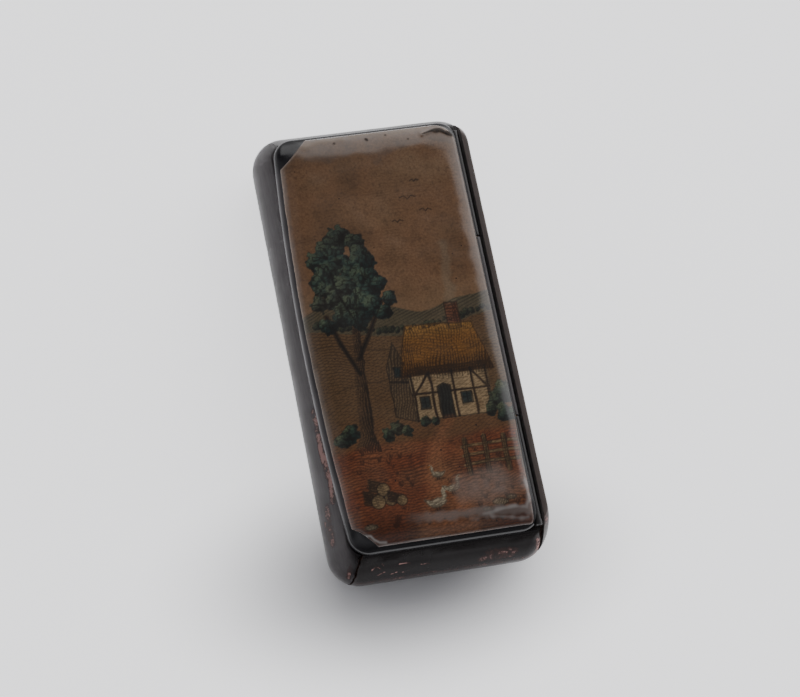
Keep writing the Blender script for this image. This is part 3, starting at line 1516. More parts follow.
@dataclass
class CountryScene(Canvas):
    """A generic picture of a cottage by a lane.

    It runs across from the paper's front edge and up from its near edge. The bare numbers are the
    drawing itself: places and sizes in millimetres, directions in degrees, shares from 0 to 1 and
    the seeds of random fields.
    """

    timber: str = "#33261b"
    glass: str = "#26302f"
    feathers: str = "#a3957c"
    # A goose's body, neck and beak, and the line of its folded wing, in lengths of its breast
    goose: tuple = (
        (1.5, 0.25), (0.9, 0.75), (0.2, 0.85), (-0.8, 0.5), (-1.9, 0.75),
        (-1.3, -0.1), (-0.6, -0.55), (0.5, -0.55), (1.2, -0.2),
    )
    goose_neck: tuple = ((0.9, 0.4), (1.3, 1.0), (1.15, 1.7), (1.45, 2.1))
    goose_beak: tuple = ((1.6, 2.15), (2.1, 2.0))
    goose_wing: tuple = ((-1.3, 0.35), (0.2, 0.05), (0.6, 0.4))
    bird_wings: tuple = ((-1, 0.3), (-0.4, 0.55), (0, 0), (0.45, 0.5), (1, 0.2))

    def paint(self) -> None:
        """Paints the picture from back to front, and then its age."""
        self.paint_sky()
        self.paint_land()
        self.paint_cottage()
        self.paint_tree()
        self.paint_foreground()
        self.paint_fence()
        self.paint_geese()
        aged = self.noise(82, 6.0)
        self.tint(smooth_step(0.0, 0.9, aged), "#3a2d20", 0.3)
        self.tint(smooth_step(0.0, 0.9, -aged), "#68543d", 0.25)
        self.tint(smooth_step(0.15, 0.6, self.noise(83, 1.1)), "#2c2118", 0.16)

    def paint_sky(self) -> None:
        """Olive-brown sky with banks of cloud in thin level lines, and a few birds."""
        v = self.v
        self.wash[:] = linear("#705138")
        self.tint(smooth_step(56, 80, v), "#684c35", 0.8)
        cloud = 0.55 * self.noise(64, 6.5, 2.2) + 0.3 * self.noise(65, 2.6, 1.8)
        bank = smooth_step(0.05, 0.5, cloud) * smooth_step(47, 54, v) * smooth_step(80, 72, v)
        self.tint(bank, "#795d44", 0.5)
        under = smooth_step(0.2, 0.0, np.abs(cloud - 0.06)) * smooth_step(48, 55, v) * smooth_step(79, 70, v)
        self.shade(0.22 * under, 1, 0.62, 0.22, 0.5)
        self.tint(smooth_step(52, 45, v), "#745a40", 0.6)
        # A plate etched through resin dust prints a fine dark grain
        self.press(smooth_step(0.35, 0.9, self.noise(69, 0.42)) * smooth_step(44, 50, v), 0.3)
        for x, y, size in ((22.5, 66.5, 1.5), (25.6, 63.6, 1.1), (19.8, 62.0, 1.0), (24.6, 70.0, 0.8)):
            self.line([(x + size * a, y + size * b) for a, b in self.bird_wings], 0.17, 0.85)

    def paint_land(self) -> None:
        """Two lines of hills with distant trees, and a meadow."""
        u, v = self.u, self.v
        back_top = 45.6 + 1.5 * np.sin(u / 5.2 + 0.6) + 0.4 * np.sin(u / 1.9)
        front_top = 41.2 + 1.7 * np.sin(u / 7.5 + 2.4)
        back, front = smooth_step(0.15, -0.15, v - back_top), smooth_step(0.15, -0.15, v - front_top)
        self.tint(back, "#4b4534", 0.9)
        self.shade(back * (0.18 + 0.3 * smooth_step(2.5, 0.0, back_top - v)), 24, 0.6, 0.55)
        hedge = []
        for x in np.arange(0.5, 34.5, 1.15):
            top = 42.3 + 1.6 * math.sin(x / 7.5 + 2.4) + 0.25 * math.sin(x * 3.1)
            hedge.append((x, top, 0.55 + 0.3 * math.sin(x * 2.3) ** 2))
        self.foliage(hedge, "#262a22", "#3a3d2e", "#4a4a36", 0.5)
        self.tint(front, "#5f462e", 0.95)
        furrows = 0.3 * smooth_step(24, 41, v) * (0.5 + 0.5 * np.sin(u / 2.7))
        self.shade(front * (0.14 + furrows), -10, 0.58, 0.6)
        for tilt, low in ((0.22, 33.0), (-0.12, 37.0)):
            row = [(x, low + tilt * (x - 17) + 0.5 * math.sin(x / 2.4)) for x in np.linspace(-1, 34.5, 40)]
            self.line(row, 0.15, 0.6)
        self.tint(smooth_step(26, 19, v), "#67462c", 0.9)

    def paint_cottage(self) -> None:
        """A thatched, half-timbered cottage with a chimney, a door and two windows."""
        u, v = self.u, self.v
        wall = [(15.6, 22.4), (30.8, 22.2), (30.8, 32.4), (15.6, 32.6)]
        gable = [(11.9, 23.8), (15.6, 22.4), (15.6, 32.6), (13.9, 38.4), (11.9, 33.2)]
        roof = [(14.3, 31.2), (32.2, 30.8), (31.2, 35.6), (29.6, 40.4), (17.0, 41.2), (15.4, 36.6)]
        stack = [(25.2, 39.6), (27.8, 39.4), (27.7, 44.6), (25.3, 44.8)]
        self.fill(stack, "#6d4330")
        self.shade(0.45 * self.inside(stack), 0, 0.55, 0.75)
        self.shade(0.7 * self.inside(stack) * (u > 26.7), 90, 0.5, 0.8)
        self.fill(wall, "#98805f")
        self.fill(wall, "#745c40", smooth_step(0.1, 0.7, self.noise(66, 2.0)), 0.7)
        shadow = 0.75 * smooth_step(30.2, 32.4, v) + 0.4 * smooth_step(28.0, 31.0, u)
        self.shade(self.inside(wall) * shadow, 1, 0.5)
        self.fill(gable, "#5e4b36")
        self.shade(self.inside(gable) * (0.35 + 0.3 * smooth_step(26, 36, v)), 78, 0.5)
        self.tint(self.inside(roof, 0.3), "#7f5527")
        self.fill(roof, "#97703a", smooth_step(37.5, 40.8, v), 0.7)
        self.fill(roof, "#49301a", smooth_step(34.5, 31.0, v), 0.85)
        straw = 0.25 + 0.5 * smooth_step(36, 31, v) + 0.25 * self.noise(67, 1.8)
        self.shade(self.inside(roof) * straw, 84, 0.55, 0.85, 0.5)
        for low in (33.4, 36.2):
            course = [(x, low + 0.25 * math.sin(x * 1.7)) for x in np.linspace(15.0, 31.6, 34)]
            self.line(course, 0.13, 0.55)
        for x in (16.0, 19.6, 23.9, 27.6, 30.4):
            self.band([(x, 22.4), (x + 0.05, 31.4)], 0.16, 0.34, self.timber)
        for beam in (
            [(15.8, 27.6), (30.6, 27.3)], [(16.2, 27.6), (19.4, 31.2)],
            [(30.2, 27.5), (27.8, 31.0)], [(12.1, 30.6), (15.5, 30.2)],
        ):
            self.band(beam, 0.14, 0.32, self.timber)
        door = [(20.6, 22.3), (23.2, 22.3), (23.2, 28.6), (21.9, 29.2), (20.6, 28.6)]
        self.fill(door, "#2a2a26")
        self.shade(0.5 * self.inside(door), 90, 0.62)
        self.border(door)
        for x in (16.9, 25.0):
            pane = [(x, 24.6), (x + 2.0, 24.6), (x + 2.0, 26.9), (x, 26.9)]
            self.fill(pane, self.glass)
            self.border(pane, 0.19)
            self.line([(x + 1.0, 24.6), (x + 1.0, 26.9)], 0.14)
            self.line([(x, 25.8), (x + 2.0, 25.8)], 0.14)
        attic = [(13.2, 31.4), (14.4, 31.3), (14.4, 33.3), (13.2, 33.4)]
        self.fill(attic, self.glass)
        self.border(attic, 0.16)
        for shape in (wall, gable, roof, stack):
            self.border(shape, 0.17, 0.9)
        for x in np.arange(14.6, 32.0, 0.55):
            self.line([(x, 31.3), (x - 0.12, 30.3 + 0.25 * math.sin(x * 5))], 0.15, 0.9)
        smoke = [(26.5, 45.2), (27.1, 47.4), (26.7, 50.0), (27.6, 53.4), (27.2, 56.6)]
        plume = 1 - smooth_step(0.2, 1.5, self.distance(smoke, 3.0) + 0.5 * self.noise(68, 1.4))
        self.tint(plume, "#7d6d58", 0.45)

    def paint_tree(self) -> None:
        """A tall oak at the left with teal-green leaves, and bushes by the house."""
        u, v = self.u, self.v
        middle = np.interp(v, [17.5, 24, 31, 40, 50], [5.4, 6.2, 6.6, 7.4, 8.6])
        girth = 1.5 - 0.9 * smooth_step(19, 50, v) + 1.2 * smooth_step(21.5, 17.5, v)
        side = (u - middle) / girth
        bark = 1 - smooth_step(0.85, 1.05, np.abs(side) + 0.1 * self.noise(69, 0.8))
        bark = bark * (v > 17.6) * (v < 50)
        self.tint(bark, "#513c29")
        self.shade(bark * np.clip(0.42 + 0.5 * side, 0, 1), 86, 0.45, 0.9, 0.6)
        for branch in (
            [(6.8, 33.0), (4.4, 39.0), (2.6, 45.0)],
            [(7.0, 36.0), (10.8, 42.0), (13.6, 47.0)],
            [(8.0, 43.0), (5.6, 49.0), (4.6, 55.0)],
        ):
            self.band(branch, 0.35, 0.6, "#35281c")
            self.line(branch, 0.26)
        rng = np.random.default_rng(90)
        balls = []
        for _ in range(46):
            turn, out = rng.uniform(0, 2 * math.pi), math.sqrt(rng.uniform(0, 1))
            x, y = 8.0 + 5.9 * out * math.cos(turn), 52.5 + 9.2 * out * math.sin(turn)
            balls.append((x, y, rng.uniform(1.5, 2.7)))
        balls += [(2.6, 43.2, 1.6), (13.6, 44.6, 1.7), (15.2, 47.2, 1.5), (1.6, 47.5, 1.6)]
        self.foliage(sorted(balls, key=lambda ball: -ball[1]), "#1d2725", "#33433b", "#56604a")
        low = [(1.0, 20.6, 1.5), (2.9, 21.6, 1.9), (10.0, 20.6, 1.3), (11.6, 21.8, 1.5), (13.6, 20.9, 1.2)]
        low = [(x, y + 0.4 * rng.uniform(-1, 1), r) for x, y, r in low]
        low += [(31.6, 24.6, 1.9), (33.4, 25.6, 2.2), (30.2, 22.6, 1.4), (32.4, 21.8, 1.8)]
        low += [(34.4, 21.8, 1.6), (17.4, 22.2, 1.0), (19.0, 21.9, 0.8)]
        self.foliage(sorted(low, key=lambda ball: -ball[1]), "#1f2a25", "#38483a", "#5c6448", 0.65)

    def paint_foreground(self) -> None:
        """A rutted lane and tufts of grass on orange-brown ground, with logs at the left, and stones."""
        u, v = self.u, self.v
        ground = smooth_step(19.6, 17.4, v + 0.7 * self.noise(95, 3.4))
        self.tint(ground, "#763f26", 0.95)
        self.tint(ground * smooth_step(-0.2, 0.6, self.noise(98, 3.0, 2.0)), "#85573a", 0.5)
        self.tint(ground * smooth_step(8.0, 0.5, v), "#4a2616", 0.8)
        lane = [(11.5, 0.0), (23.5, 0.0), (22.9, 5.0), (20.2, 10.0), (18.9, 13.5), (20.0, 18.0)]
        lane += [(22.7, 22.4), (21.1, 22.4), (17.6, 18.6), (15.4, 13.5), (15.0, 9.0), (13.3, 5.0)]
        way = self.inside(lane, 0.8)
        self.tint(way, "#8a5a3c", 0.7)
        self.shade(ground * (1 - way) * (0.26 + 0.2 * self.noise(99, 2.2, 2.0)), 2, 0.56, 0.75, 0.6)
        ruts = 0.12 + 0.3 * smooth_step(0.1, 0.7, self.noise(96, 2.6, 1.6))
        self.shade(way * ruts, -2, 0.6, 0.6, 0.8)
        rng = np.random.default_rng(97)
        for _ in range(90):
            x, y = rng.uniform(0.5, 33.5), rng.uniform(1.2, 21.5)
            # Most of the lane stays bare of grass
            if 11.5 < x < 23.5 and rng.uniform() < 0.75:
                continue
            tall = rng.uniform(0.5, 1.3)
            for lean in (-0.45, -0.1, 0.25, 0.6):
                tip = (x + 0.9 * lean, y + tall * rng.uniform(0.6, 1.0))
                self.line([(x + 0.3 * lean, y), tip], 0.13, 0.8)
        for x, y, r in ((7.9, 8.4, 1.25), (5.4, 8.1, 1.35), (6.7, 10.3, 1.25), (9.9, 7.9, 1.0)):
            log_side = [(x - 2.8, y + 1.2 - r), (x, y - r), (x + 0.3, y + r), (x - 2.5, y + 1.2 + r)]
            self.fill(log_side, "#4b3524")
            self.shade(0.55 * self.inside(log_side), -20, 0.45)
            away = np.hypot(u - x, v - y)
            self.tint(1 - smooth_step(r - 0.15, r + 0.05, away), "#8d7453")
            rings = np.abs(away % 0.5 - 0.25) * 4
            self.press(smooth_step(0.62, 0.95, rings) * (away < r - 0.1), 0.5)
            self.press(1 - smooth_step(0.06, 0.2, np.abs(away - r)), 0.9)
        for x, y, w in ((28.0, 4.6, 1.5), (30.3, 5.4, 1.0), (25.4, 3.6, 0.8), (3.2, 3.4, 1.1)):
            stone = []
            for a in np.linspace(0, 2 * math.pi, 17)[:-1]:
                squash = 1.0 if math.sin(a) > 0 else 0.5
                across = w * (1 + 0.15 * math.sin(3 * a)) * math.cos(a)
                stone.append((x + across, y + 0.6 * w * math.sin(a) * squash))
            self.fill(stone, "#84765f")
            self.shade(self.inside(stone) * np.clip(0.35 + 0.5 * (u - x) / w, 0, 1), 55, 0.45)
            self.border(stone, 0.15, 0.9)

    def paint_fence(self) -> None:
        """A split-rail fence at the right of the lane."""
        for low, tilt in ((12.6, 0.06), (14.5, 0.03), (16.2, 0.05)):
            rail = [(23.0, low), (27.4, low + 4.4 * tilt), (31.2, low + 0.1), (35.0, low + 4.0 * tilt)]
            self.band(rail, 0.22, 0.34, "#7b6244")
            for side in (-0.28, 0.28):
                self.line([(x, y + side) for x, y in rail], 0.13, 0.9)
        for x, top in ((23.6, 17.6), (27.3, 17.9), (31.1, 17.4), (34.2, 17.9)):
            self.band([(x, 10.8), (x + 0.1, top)], 0.36, 0.5, "#6c5439")
            shadow = self.distance([(x + 0.2, 10.8), (x + 0.3, top)])
            self.shade(0.6 * (1 - smooth_step(0.3, 0.5, shadow)), 88, 0.4)
            for side in (-0.45, 0.45):
                self.line([(x + side, 10.8), (x + 0.1 + side, top)], 0.15, 0.95)

    def paint_geese(self) -> None:
        """Three geese walking up the lane."""
        u, v = self.u, self.v
        for x, y, s, way in ((16.2, 6.2, 1.25, 1), (19.6, 8.6, 1.0, 1), (17.4, 11.6, 0.8, -1)):
            body, neck, beak, wing = (
                [(x + way * s * a, y + s * b) for a, b in shape]
                for shape in (self.goose, self.goose_neck, self.goose_beak, self.goose_wing)
            )
            shadow = np.hypot((u - x - 0.3) / (2.2 * s), (v - y + 0.95 * s) / (0.5 * s))
            self.tint(1 - smooth_step(0.2, 1.1, shadow), "#3a2415", 0.7)
            self.fill(body, self.feathers)
            self.band(neck, 0.24 * s, 0.36 * s, self.feathers)
            self.band([neck[-1], beak[0]], 0.3 * s, 0.42 * s, self.feathers)
            self.band(beak, 0.1, 0.24, "#8a5226")
            dim = smooth_step(y + 0.35 * s, y - 0.5 * s, v)
            self.shade(self.inside(body) * dim, 12 * way, 0.4, 0.75)
            self.line([*body[2:], body[0]], 0.14, 0.85)
            self.line(wing, 0.13, 0.7)
            for side in (-0.26, 0.26):
                self.line([(a + side * s, b) for a, b in neck[:3]], 0.12, 0.7)
            for leg in (-0.25, 0.2):
                foot = (x + (leg + 0.12 * way) * s, y - 1.1 * s)
                self.line([(x + leg * s, y - 0.5 * s), foot], 0.15, 0.9)


@dataclass
class CountryPrint:
    """A hand-coloured engraving, pasted on the lid and varnished, with the marks of its age.

    Runs, burns and reaches, and the bare numbers of haze and glare, are the places, sizes and
    strengths of those marks in the box's frame, and the seeds of random fields.
    """

    lid: Lid
    finishes: Finishes
    front_margin: float = 1.15
    hinge_margin: float = 0.25
    hinge_margin_near: float = 0.5
    near_margin: float = 0.9
    far_margin: float = 0.8
    bow: float = 1.75
    corner_cut: float = 4.0
    far_cut: float = 5.4
    paste: float = 0.1
    thickness: float = 0.2
    edge_thickness: float = 0.05
    bead_height: float = 0.014
    wander: float = 0.14
    step: float = 0.172
    coarse: int = 6
    reach_x: tuple = (-17, -14, -9, -5, -2, 0.2, 2.4, 4.5, 8, 12, 16)
    reach: tuple = (5.2, 4.0, 6.0, 5.0, 3.9, 7.4, 5.6, 5.2, 4.2, 3.2, 4.9)
    ridge_run: tuple = (
        (7.2, -37.8), (10.6, -37.4), (13.5, -37.1), (15.6, -37.5), (16.5, -36.3),
        (16.7, -33.5), (16.4, -31.8),
    )
    lower_run: tuple = ((8.6, -38.4), (11.5, -38.9), (14.0, -39.4), (15.6, -39.3))
    lifted_tip: tuple = ((-15.6, -38.4), (-14.4, -38.7), (-13.9, -39.5), (-13.0, -40.1), (-11.8, -40.2))
    ochre_runs: tuple = (
        (((-12.4, 39.0), (-9.0, 39.9), (-4.8, 39.7)), 0.9),
        (((5.5, 40.0), (8.5, 40.2), (11.8, 40.2)), 0.7),
        (((-3.2, 40.3), (0.5, 40.4)), 0.5),
    )
    bare_run: tuple = ((10.9, 38.9), (13.0, 39.3), (14.6, 39.4), (16.6, 38.3))
    burns: tuple = ((-0.1, 39.2, 0.42), (-6.6, 39.0, 0.25), (3.9, 39.6, 0.28), (8.0, 38.2, 0.2))

    def span(self) -> tuple:
        """The paper's largest extents.

        Returns:
            Its front, hinge, near and far edges.
        """
        sizes = self.lid.sizes
        return (
            sizes.rim_x + self.front_margin,
            sizes.lid_edge_x - self.hinge_margin,
            -sizes.rim_y + self.near_margin,
            sizes.rim_y - self.far_margin,
        )

    def edges(self, y: Array) -> tuple:
        """The paper's front and hinge edges, a little torn.

        Args:
            y: places along the box.

        Returns:
            Where the two edges are across the box.
        """
        x0, x1, y0, y1 = self.span()
        along = (y - (y0 + y1) / 2) / ((y1 - y0) / 2)
        coarse = Mottle(71, 3.4).at(np.c_[y, y * 0 + 1.3, y * 0])
        fine = Mottle(72, 0.5).at(np.c_[y, y * 0 + 4.2, y * 0])
        front = x0 - self.bow * (1 - along**2) + 0.1 * coarse + 0.03 * fine
        front += self.corner_cut * np.clip(1 - (y - y0) / self.corner_cut, 0, 1) ** 0.8
        front += self.far_cut * np.clip(1 - (y1 - y) / self.far_cut, 0, 1) ** 0.85
        far_turn = np.clip(1 - (y1 - y) / self.corner_cut, 0, 1)
        near_turn = np.clip(1 - (y - y0) / 1.0, 0, 1)
        hinge = x1 - np.abs(0.06 * coarse + 0.04 * fine) - self.hinge_margin_near * smooth_step(-10, -40, y)
        hinge -= self.corner_cut * (1 - np.sqrt(1 - far_turn**2)) + 1 - np.sqrt(1 - near_turn**2)
        return front, hinge

    def placed(self, points: tuple) -> list:
        """Points of the box's frame in the picture's own coordinates."""
        x0, _, y0, _ = self.span()
        return [(x - x0, y - y0) for x, y in points]

    def paint(self, u: Array, v: Array) -> CountryScene:
        """Paints the picture, whose lines wander a little.

        Args:
            u: places across the picture.
            v: places up the picture.

        Returns:
            The painted picture.
        """
        place = np.c_[u, v, np.zeros(len(u))]
        # The field is read a second time 40 mm off, so that the two wanders differ
        across, up = (self.wander * Mottle(81, 2.4).at(places) for places in (place, place + 40.0))
        picture = CountryScene(u + across, v + up)
        picture.paint()
        return picture

    def haze(self, canvas: Canvas, border: dict) -> dict:
        """Milky varnish and worn places.

        Args:
            canvas: the painted picture.
            border: distances from the paper's front, hinge, near and far edges.

        Returns:
            How milky, how ochre, how torn and how bare each place is, from 0 to 1.
        """
        x0, _, y0, _ = self.span()
        x, y = canvas.u + x0, canvas.v + y0
        cloud, streak, fine = canvas.noise(101, 2.6), canvas.noise(102, 1.0), canvas.noise(104, 0.45)
        reach = np.interp(x, self.reach_x, self.reach)
        depth = border["far"] - reach - 0.35 * streak - 0.12 * fine
        patchy = 0.42 + 0.22 * cloud + 0.14 * streak
        far = smooth_step(0.35, -0.5, depth)
        far = far * (patchy + 0.3 * smooth_step(1.9, 0.5, border["far"] + 0.5 * streak))
        side = smooth_step(2.6, 0.3, border["hinge"] + 0.5 * cloud) * smooth_step(-14, 4, y)
        rubbed = np.hypot((x - 9.5) / 8.5, (y + 32.5) / 4.4)
        worn = smooth_step(1.15, 0.2, rubbed + 0.28 * cloud + 0.1 * streak)
        band = smooth_step(1.5, 0.3, np.abs(y + 37.0 + 0.06 * x) + 0.55 * streak) * smooth_step(-9, -1, x)
        canvas.tint(worn, "#9a755f", 0.6)
        milky = np.maximum.reduce([far, 0.5 * side, 0.45 * worn, 0.55 * band])
        milky = milky * (0.86 + 0.2 * streak + 0.1 * fine)
        runs = np.zeros(len(x))
        for run, wide in self.ochre_runs:
            away = canvas.distance(self.placed(run)) + 0.25 * streak + 0.1 * fine
            runs = np.maximum(runs, smooth_step(wide, 0.3 * wide, away))
        stains = 0.5 * smooth_step(0.2, 0.8, canvas.noise(105, 1.5, 2.4))
        ochre = np.maximum(0.85 * runs, stains * smooth_step(3.4, 1.0, border["far"]))
        milky = np.maximum(milky, 0.62 * runs)
        rim = bump(border["front"] - 0.4, 0.4) * smooth_step(37.5, 34, y) * (0.22 + 0.14 * cloud)
        near = bump(border["near"] - 0.16, 0.16) * (0.5 + 0.3 * canvas.noise(106, 3.0))
        edge = 0.15 + 0.22 * smooth_step(-39, -30, y) * smooth_step(-24, -30, y)
        edge = bump(border["hinge"] - 0.2, 0.2) * edge
        torn = np.maximum.reduce([rim, near, edge, 0.25 * worn * (0.8 + 0.4 * streak), 0.3 * band])
        # The bare run narrows to nothing at its front end
        narrow = np.maximum(smooth_step(10.5, 15.5, x), 1e-9) ** -0.5
        bare = smooth_step(0.75, 0.25, canvas.distance(self.placed(self.bare_run)) * narrow + 0.3 * streak)
        for a, b, r in self.burns:
            bare = np.maximum(bare, smooth_step(1.2, 0.6, np.hypot(x - a, y - b) / r + 0.3 * fine))
        return {
            "bloom": np.clip(milky, 0, 0.85) * (1 - bare), "ochre": np.clip(ochre, 0, 1),
            "torn": np.clip(torn, 0, 0.9) * (1 - bare), "bare": np.clip(bare, 0, 1),
        }

    def glare(self, canvas: Canvas) -> tuple:
        """Ridges and a pocket where the varnish ran at the near hinge corner, and a lifted front tip.

        Args:
            canvas: the painted picture.

        Returns:
            How high the varnish stands in millimetres, and how pale and how dark it is from 0 to 1.
        """
        ridge, lower, tip = (self.placed(run) for run in (self.ridge_run, self.lower_run, self.lifted_tip))
        streak = canvas.noise(107, 0.9)
        first = bump(canvas.distance(ridge), 0.42 + 0.25 * streak)
        second = bump(canvas.distance(lower), 0.32 + 0.2 * streak)
        third = bump(canvas.distance(tip), 0.24)
        pocket = canvas.inside([*ridge[1:4], *lower[::-1]], 0.5)
        bare = bump(canvas.distance(self.placed(self.bare_run)), 0.55 + 0.12 * streak)
        ochre = bump(canvas.distance(self.placed(self.ochre_runs[0][0])), 0.7 + 0.15 * streak)
        pale = np.clip((0.65 + 0.3 * streak) * first + (0.4 + 0.3 * streak) * second + 0.9 * third, 0, 1)
        drips = 0.14 * bare + 0.06 * ochre
        return drips + 0.035 * first + 0.025 * second + 0.05 * third - 0.03 * pocket, pale, 0.75 * pocket

    def underside(self, index: Array) -> list:
        """Faces of the hidden side, coarse within and as fine as the top along the border.

        Args:
            index: numbers of the vertices, row by row.

        Returns:
            An array of vertex numbers for each face.
        """
        rows, columns = index.shape[0] - 1, index.shape[1] - 1
        rungs, stiles = [*range(0, rows, self.coarse), rows], [*range(0, columns, self.coarse), columns]
        faces = []
        for (r0, r1), (c0, c1) in itertools.product(zip(rungs, rungs[1:]), zip(stiles, stiles[1:])):
            near = index[r0, c0 : c1 + 1] if r0 == 0 else index[r0, [c0, c1]]
            right = index[r0 : r1 + 1, c1] if c1 == columns else index[[r0, r1], c1]
            far = index[r1, c0 : c1 + 1] if r1 == rows else index[r1, [c0, c1]]
            left = index[r0 : r1 + 1, c0] if c0 == 0 else index[[r0, r1], c0]
            faces.append(np.r_[near[:-1], right[:-1], far[:0:-1], left[:0:-1]][::-1])
        return faces

    def build(self) -> None:
        """Lays the paper over the lid, paints it and varnishes it."""
        x0, x1, y0, y1 = self.span()
        rows, columns = int((y1 - y0) / self.step), int((x1 - x0) / self.step)
        y = np.linspace(y0, y1, rows + 1)
        front, hinge = self.edges(y)
        x = front[:, None] + (hinge - front)[:, None] * np.linspace(0, 1, columns + 1)[None, :]
        grid_y = np.repeat(y[:, None], columns + 1, axis=1)
        plan = np.c_[x.ravel(), grid_y.ravel()]
        canvas = self.paint(plan[:, 0] - x0, plan[:, 1] - y0)

        tree = BVHTree.FromObject(self.lid.board, bpy.context.evaluated_depsgraph_get())
        down, high = Vector((0, 0, -1)), self.lid.top * 2 * MM
        missed = Vector((0, 0, self.lid.edge_top * MM))
        hits = (tree.ray_cast(Vector((px * MM, py * MM, high)), down)[0] for px, py in plan)
        under = np.array([(hit or missed).z / MM for hit in hits])
        slope = 1.0 / np.sqrt(1 + np.gradient(under.reshape(x.shape), axis=1) ** 2 / self.step**2)
        border = {
            "front": (x - front[:, None]).ravel(), "hinge": (hinge[:, None] - x).ravel(),
            "near": (grid_y - y0).ravel(), "far": (y1 - grid_y).ravel(),
        }
        edge = np.minimum.reduce(list(border.values()))
        ridges, pale, pocket = self.glare(canvas)
        body = smooth_step(-0.05, 0.45, edge)
        # The varnish has pulled back to a bead along the border
        bead = self.bead_height * bump(edge - 0.4, 0.22) / np.maximum(slope.ravel(), 0.5)
        lift = self.paste + (self.thickness - self.edge_thickness) * body + bead + ridges * body
        top, bottom = np.c_[plan, under + lift], np.c_[plan, under + self.paste * 0.5]

        count = columns + 1
        index = np.arange((rows + 1) * count).reshape(rows + 1, count)
        quads = np.stack([index[:-1, :-1], index[:-1, 1:], index[1:, 1:], index[1:, :-1]], axis=-1)
        loop = np.r_[index[0, :], index[1:, -1], index[-1, -2::-1], index[-2:0:-1, 0]]
        after = np.roll(loop, -1)
        hidden = self.underside(index)
        used = np.unique(np.concatenate(hidden))
        place = np.zeros(len(top), int)
        place[used] = len(top) + np.arange(len(used))
        walls = np.c_[loop, place[loop], place[after], after]
        faces = [*quads.reshape(-1, 4).tolist(), *(place[face].tolist() for face in hidden), *walls.tolist()]
        paper = make_solid("lid_print_engraving", np.r_[top, bottom[used]], faces, self.finishes.print_paper)

        clouds = self.haze(canvas, border)
        ink = np.maximum.reduce([canvas.ink, 0.8 * pocket, clouds["bare"]])
        layers = {"wash": canvas.wash, "ink": ink, **clouds}
        layers["bloom"] = clouds["bloom"] * (1 - pocket)
        layers["torn"] = np.maximum(clouds["torn"], pale)
        for name, values in layers.items():
            lay_values(paper, name, np.concatenate([values, values[used]]))
        settle(paper, Body.LID, ("lid_print",), 60.0)


# The lips inside the rim


@dataclass
class InnerLips:
    """The thin lacquered strips inside the rim that enter the lid."""

    finishes: Finishes
    ease: float = 0.2
    ease_segments: int = 3
    corner_angle: float = 50.0
    joined: float = 0.08
    nodes: tuple = ("front_inner_lip", "near_inner_lip", "far_inner_lip")

    def build(self) -> None:
        """Dresses the three strips and eases their edges."""
        for name in self.nodes:
            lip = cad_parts[name]
            lip.data.materials.clear()
            lip.data.materials.append(self.finishes.inside)
            # The solids come as loose triangles, joined here to whole faces before their edges are eased
            for title, kind, settings in (
                ("joined_corners", "WELD", {"merge_threshold": self.joined * MM}),
                ("whole_faces", "DECIMATE", {"decimate_type": "DISSOLVE", "angle_limit": math.radians(1)}),
                ("eased_edges", "BEVEL", {
                    "width": self.ease * MM, "segments": self.ease_segments,
                    "limit_method": "ANGLE", "angle_limit": math.radians(self.corner_angle),
                }),
            ):
                modifier = lip.modifiers.new(title, kind)
                for key, value in settings.items():
                    setattr(modifier, key, value)
            log.info("%s: dressed on %s", name, Body.BOX.value)


# Studio


@dataclass(frozen=True)
class SoftBox:
    """A soft studio light: where it is, its size, its power and its tint."""

    name: str
    place: tuple
    size: tuple
    power: float
    tint: str = "#ffffff"

    def build(self) -> None:
        """Hangs the light and turns it to the box."""
        data = bpy.data.lights.new(self.name, "AREA")
        data.shape = "RECTANGLE"
        data.size, data.size_y = self.size
        data.energy = self.power
        data.color = linear(self.tint)[:3]
        light = bpy.data.objects.new(self.name, data)
        bpy.context.scene.collection.objects.link(light)
        light.location = self.place
        light.rotation_euler = (Vector((0, 0, 0.01)) - light.location).to_track_quat("-Z", "Y").to_euler()


@dataclass(frozen=True)
class Flag:
    """A dark screen in the tent: its direction, the cosines of its edge and middle, and the light left."""

    way: tuple
    start: float
    full: float
    left: float


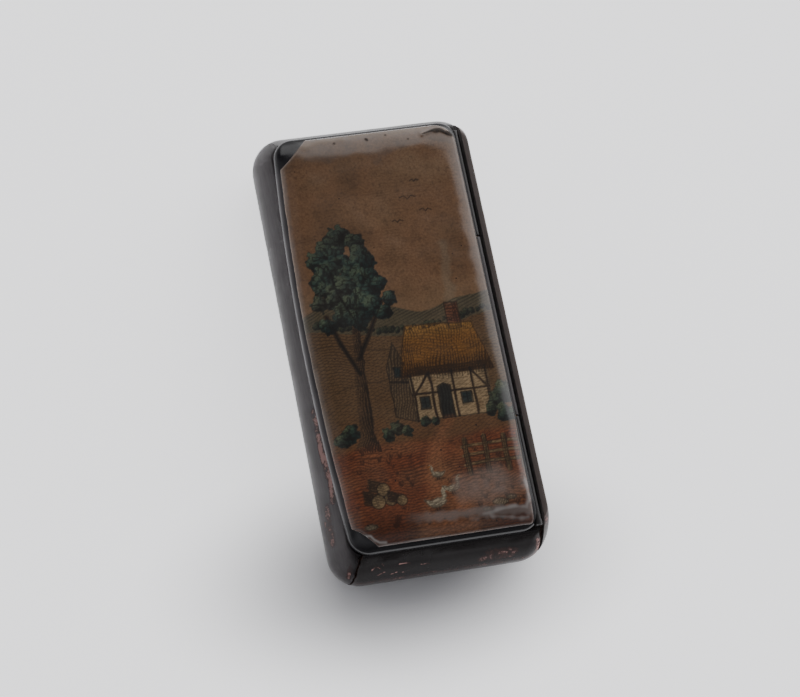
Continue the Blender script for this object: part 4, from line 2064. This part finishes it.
@dataclass
class Studio:
    """Pale floor, soft lights and the camera."""

    finishes: Finishes
    camera_place: tuple = (-113.14, -159.19, 508.77)
    camera_right: tuple = (0.9683, -0.1929, 0.1584)
    camera_down: tuple = (-0.133, -0.9357, -0.3268)
    camera_forward: tuple = (0.2113, 0.2954, -0.9317)
    lens: float = 126.0
    floor_half: float = 1.6
    flags: tuple = (
        Flag((0.2113, 0.2954, 0.9317), 0.8, 0.93, 0.08),
        Flag((-0.656, 0.349, 0.669), 0.82, 0.95, 0.3),
        Flag((-0.27, 0.82, 0.5), 0.82, 0.94, 0.15),
        Flag((0.76, 0.3, 0.578), 0.9, 0.98, 0.6),
    )
    lights: tuple = (SoftBox("key_from_behind", (0.6, 1.15, 0.84), (3.0, 1.45), 25.0),)

    def build(self) -> None:
        """Makes the floor, the lights, the surroundings and the camera."""
        half = self.floor_half / MM
        corners = np.array([(-half, -half, 0), (half, -half, 0), (half, half, 0), (-half, half, 0)])
        floor = make_solid("floor", corners, [(0, 1, 2, 3)], self.finishes.backdrop)
        for light in self.lights:
            light.build()
        self.surround()
        self.aim()

    def surround(self) -> None:
        """A white tent, dimmer in front, above and at its skirt, with flags that keep glare off the box."""
        world = bpy.data.worlds.new("studio_surround")
        bpy.context.scene.world = world
        world.use_nodes = True
        tree = world.node_tree
        direction = add(tree, "TexCoord").outputs["Generated"]
        parts = add(tree, "SeparateXYZ", {0: direction}).outputs
        share = add(tree, "MapRange", {"Value": parts["Z"], "From Min": 0.15, "From Max": 0.6})
        colour = add(tree, "Mix", {0: share, 6: linear("#ffffff"), 7: linear("#b4b4b8")}, data_type="RGBA")
        front = {"Value": parts["Y"], "From Min": -0.6, "From Max": 0.4, "To Min": 0.3, "To Max": 2.55}
        # The tent's skirt gets less light, so a low view of the varnish isn't all glare
        skirt = {"Value": parts["Z"], "From Min": 0.05, "From Max": 0.4, "To Min": 0.3, "To Max": 1.0}
        level = add(tree, "MapRange", front)
        level = add(tree, "Math", {0: level, 1: add(tree, "MapRange", skirt)}, operation="MULTIPLY")
        for flag in self.flags:
            facing = add(tree, "VectorMath", {0: direction, 1: flag.way}, operation="DOT_PRODUCT")
            edge = {"From Min": flag.start, "From Max": flag.full, "To Min": 1.0, "To Max": flag.left}
            clear = add(tree, "MapRange", {"Value": facing, **edge})
            level = add(tree, "Math", {0: level, 1: clear}, operation="MULTIPLY")
        plug(tree.nodes["Background"], {"Color": colour, "Strength": level})

    def aim(self) -> None:
        """Sets the camera at the photograph's angle."""
        data = bpy.data.cameras.new("product_camera")
        data.sensor_fit = "HORIZONTAL"
        data.sensor_width = 36.0
        data.lens = self.lens
        data.clip_start, data.clip_end = 0.01, 10.0
        camera = bpy.data.objects.new("product_camera", data)
        bpy.context.scene.collection.objects.link(camera)
        axes = np.array([self.camera_right, -np.array(self.camera_down), -np.array(self.camera_forward)])
        turn = Matrix(axes.T.tolist()).to_4x4()
        camera.matrix_world = Matrix.Translation(Vector(self.camera_place) * MM) @ turn
        bpy.context.scene.camera = camera


def main() -> None:
    """Builds the dressed box and its studio."""
    logging.basicConfig(level=logging.INFO, format="%(name)s: %(message)s")
    sizes, finishes = BoxSizes(), Finishes()
    Studio(finishes).build()
    BoxBody(sizes, finishes).build()
    Hinge(sizes, finishes).build()
    lid = Lid(sizes, finishes)
    lid.build()
    CountryPrint(lid, finishes).build()
    InnerLips(finishes).build()


if __name__ == "__main__":
    main()
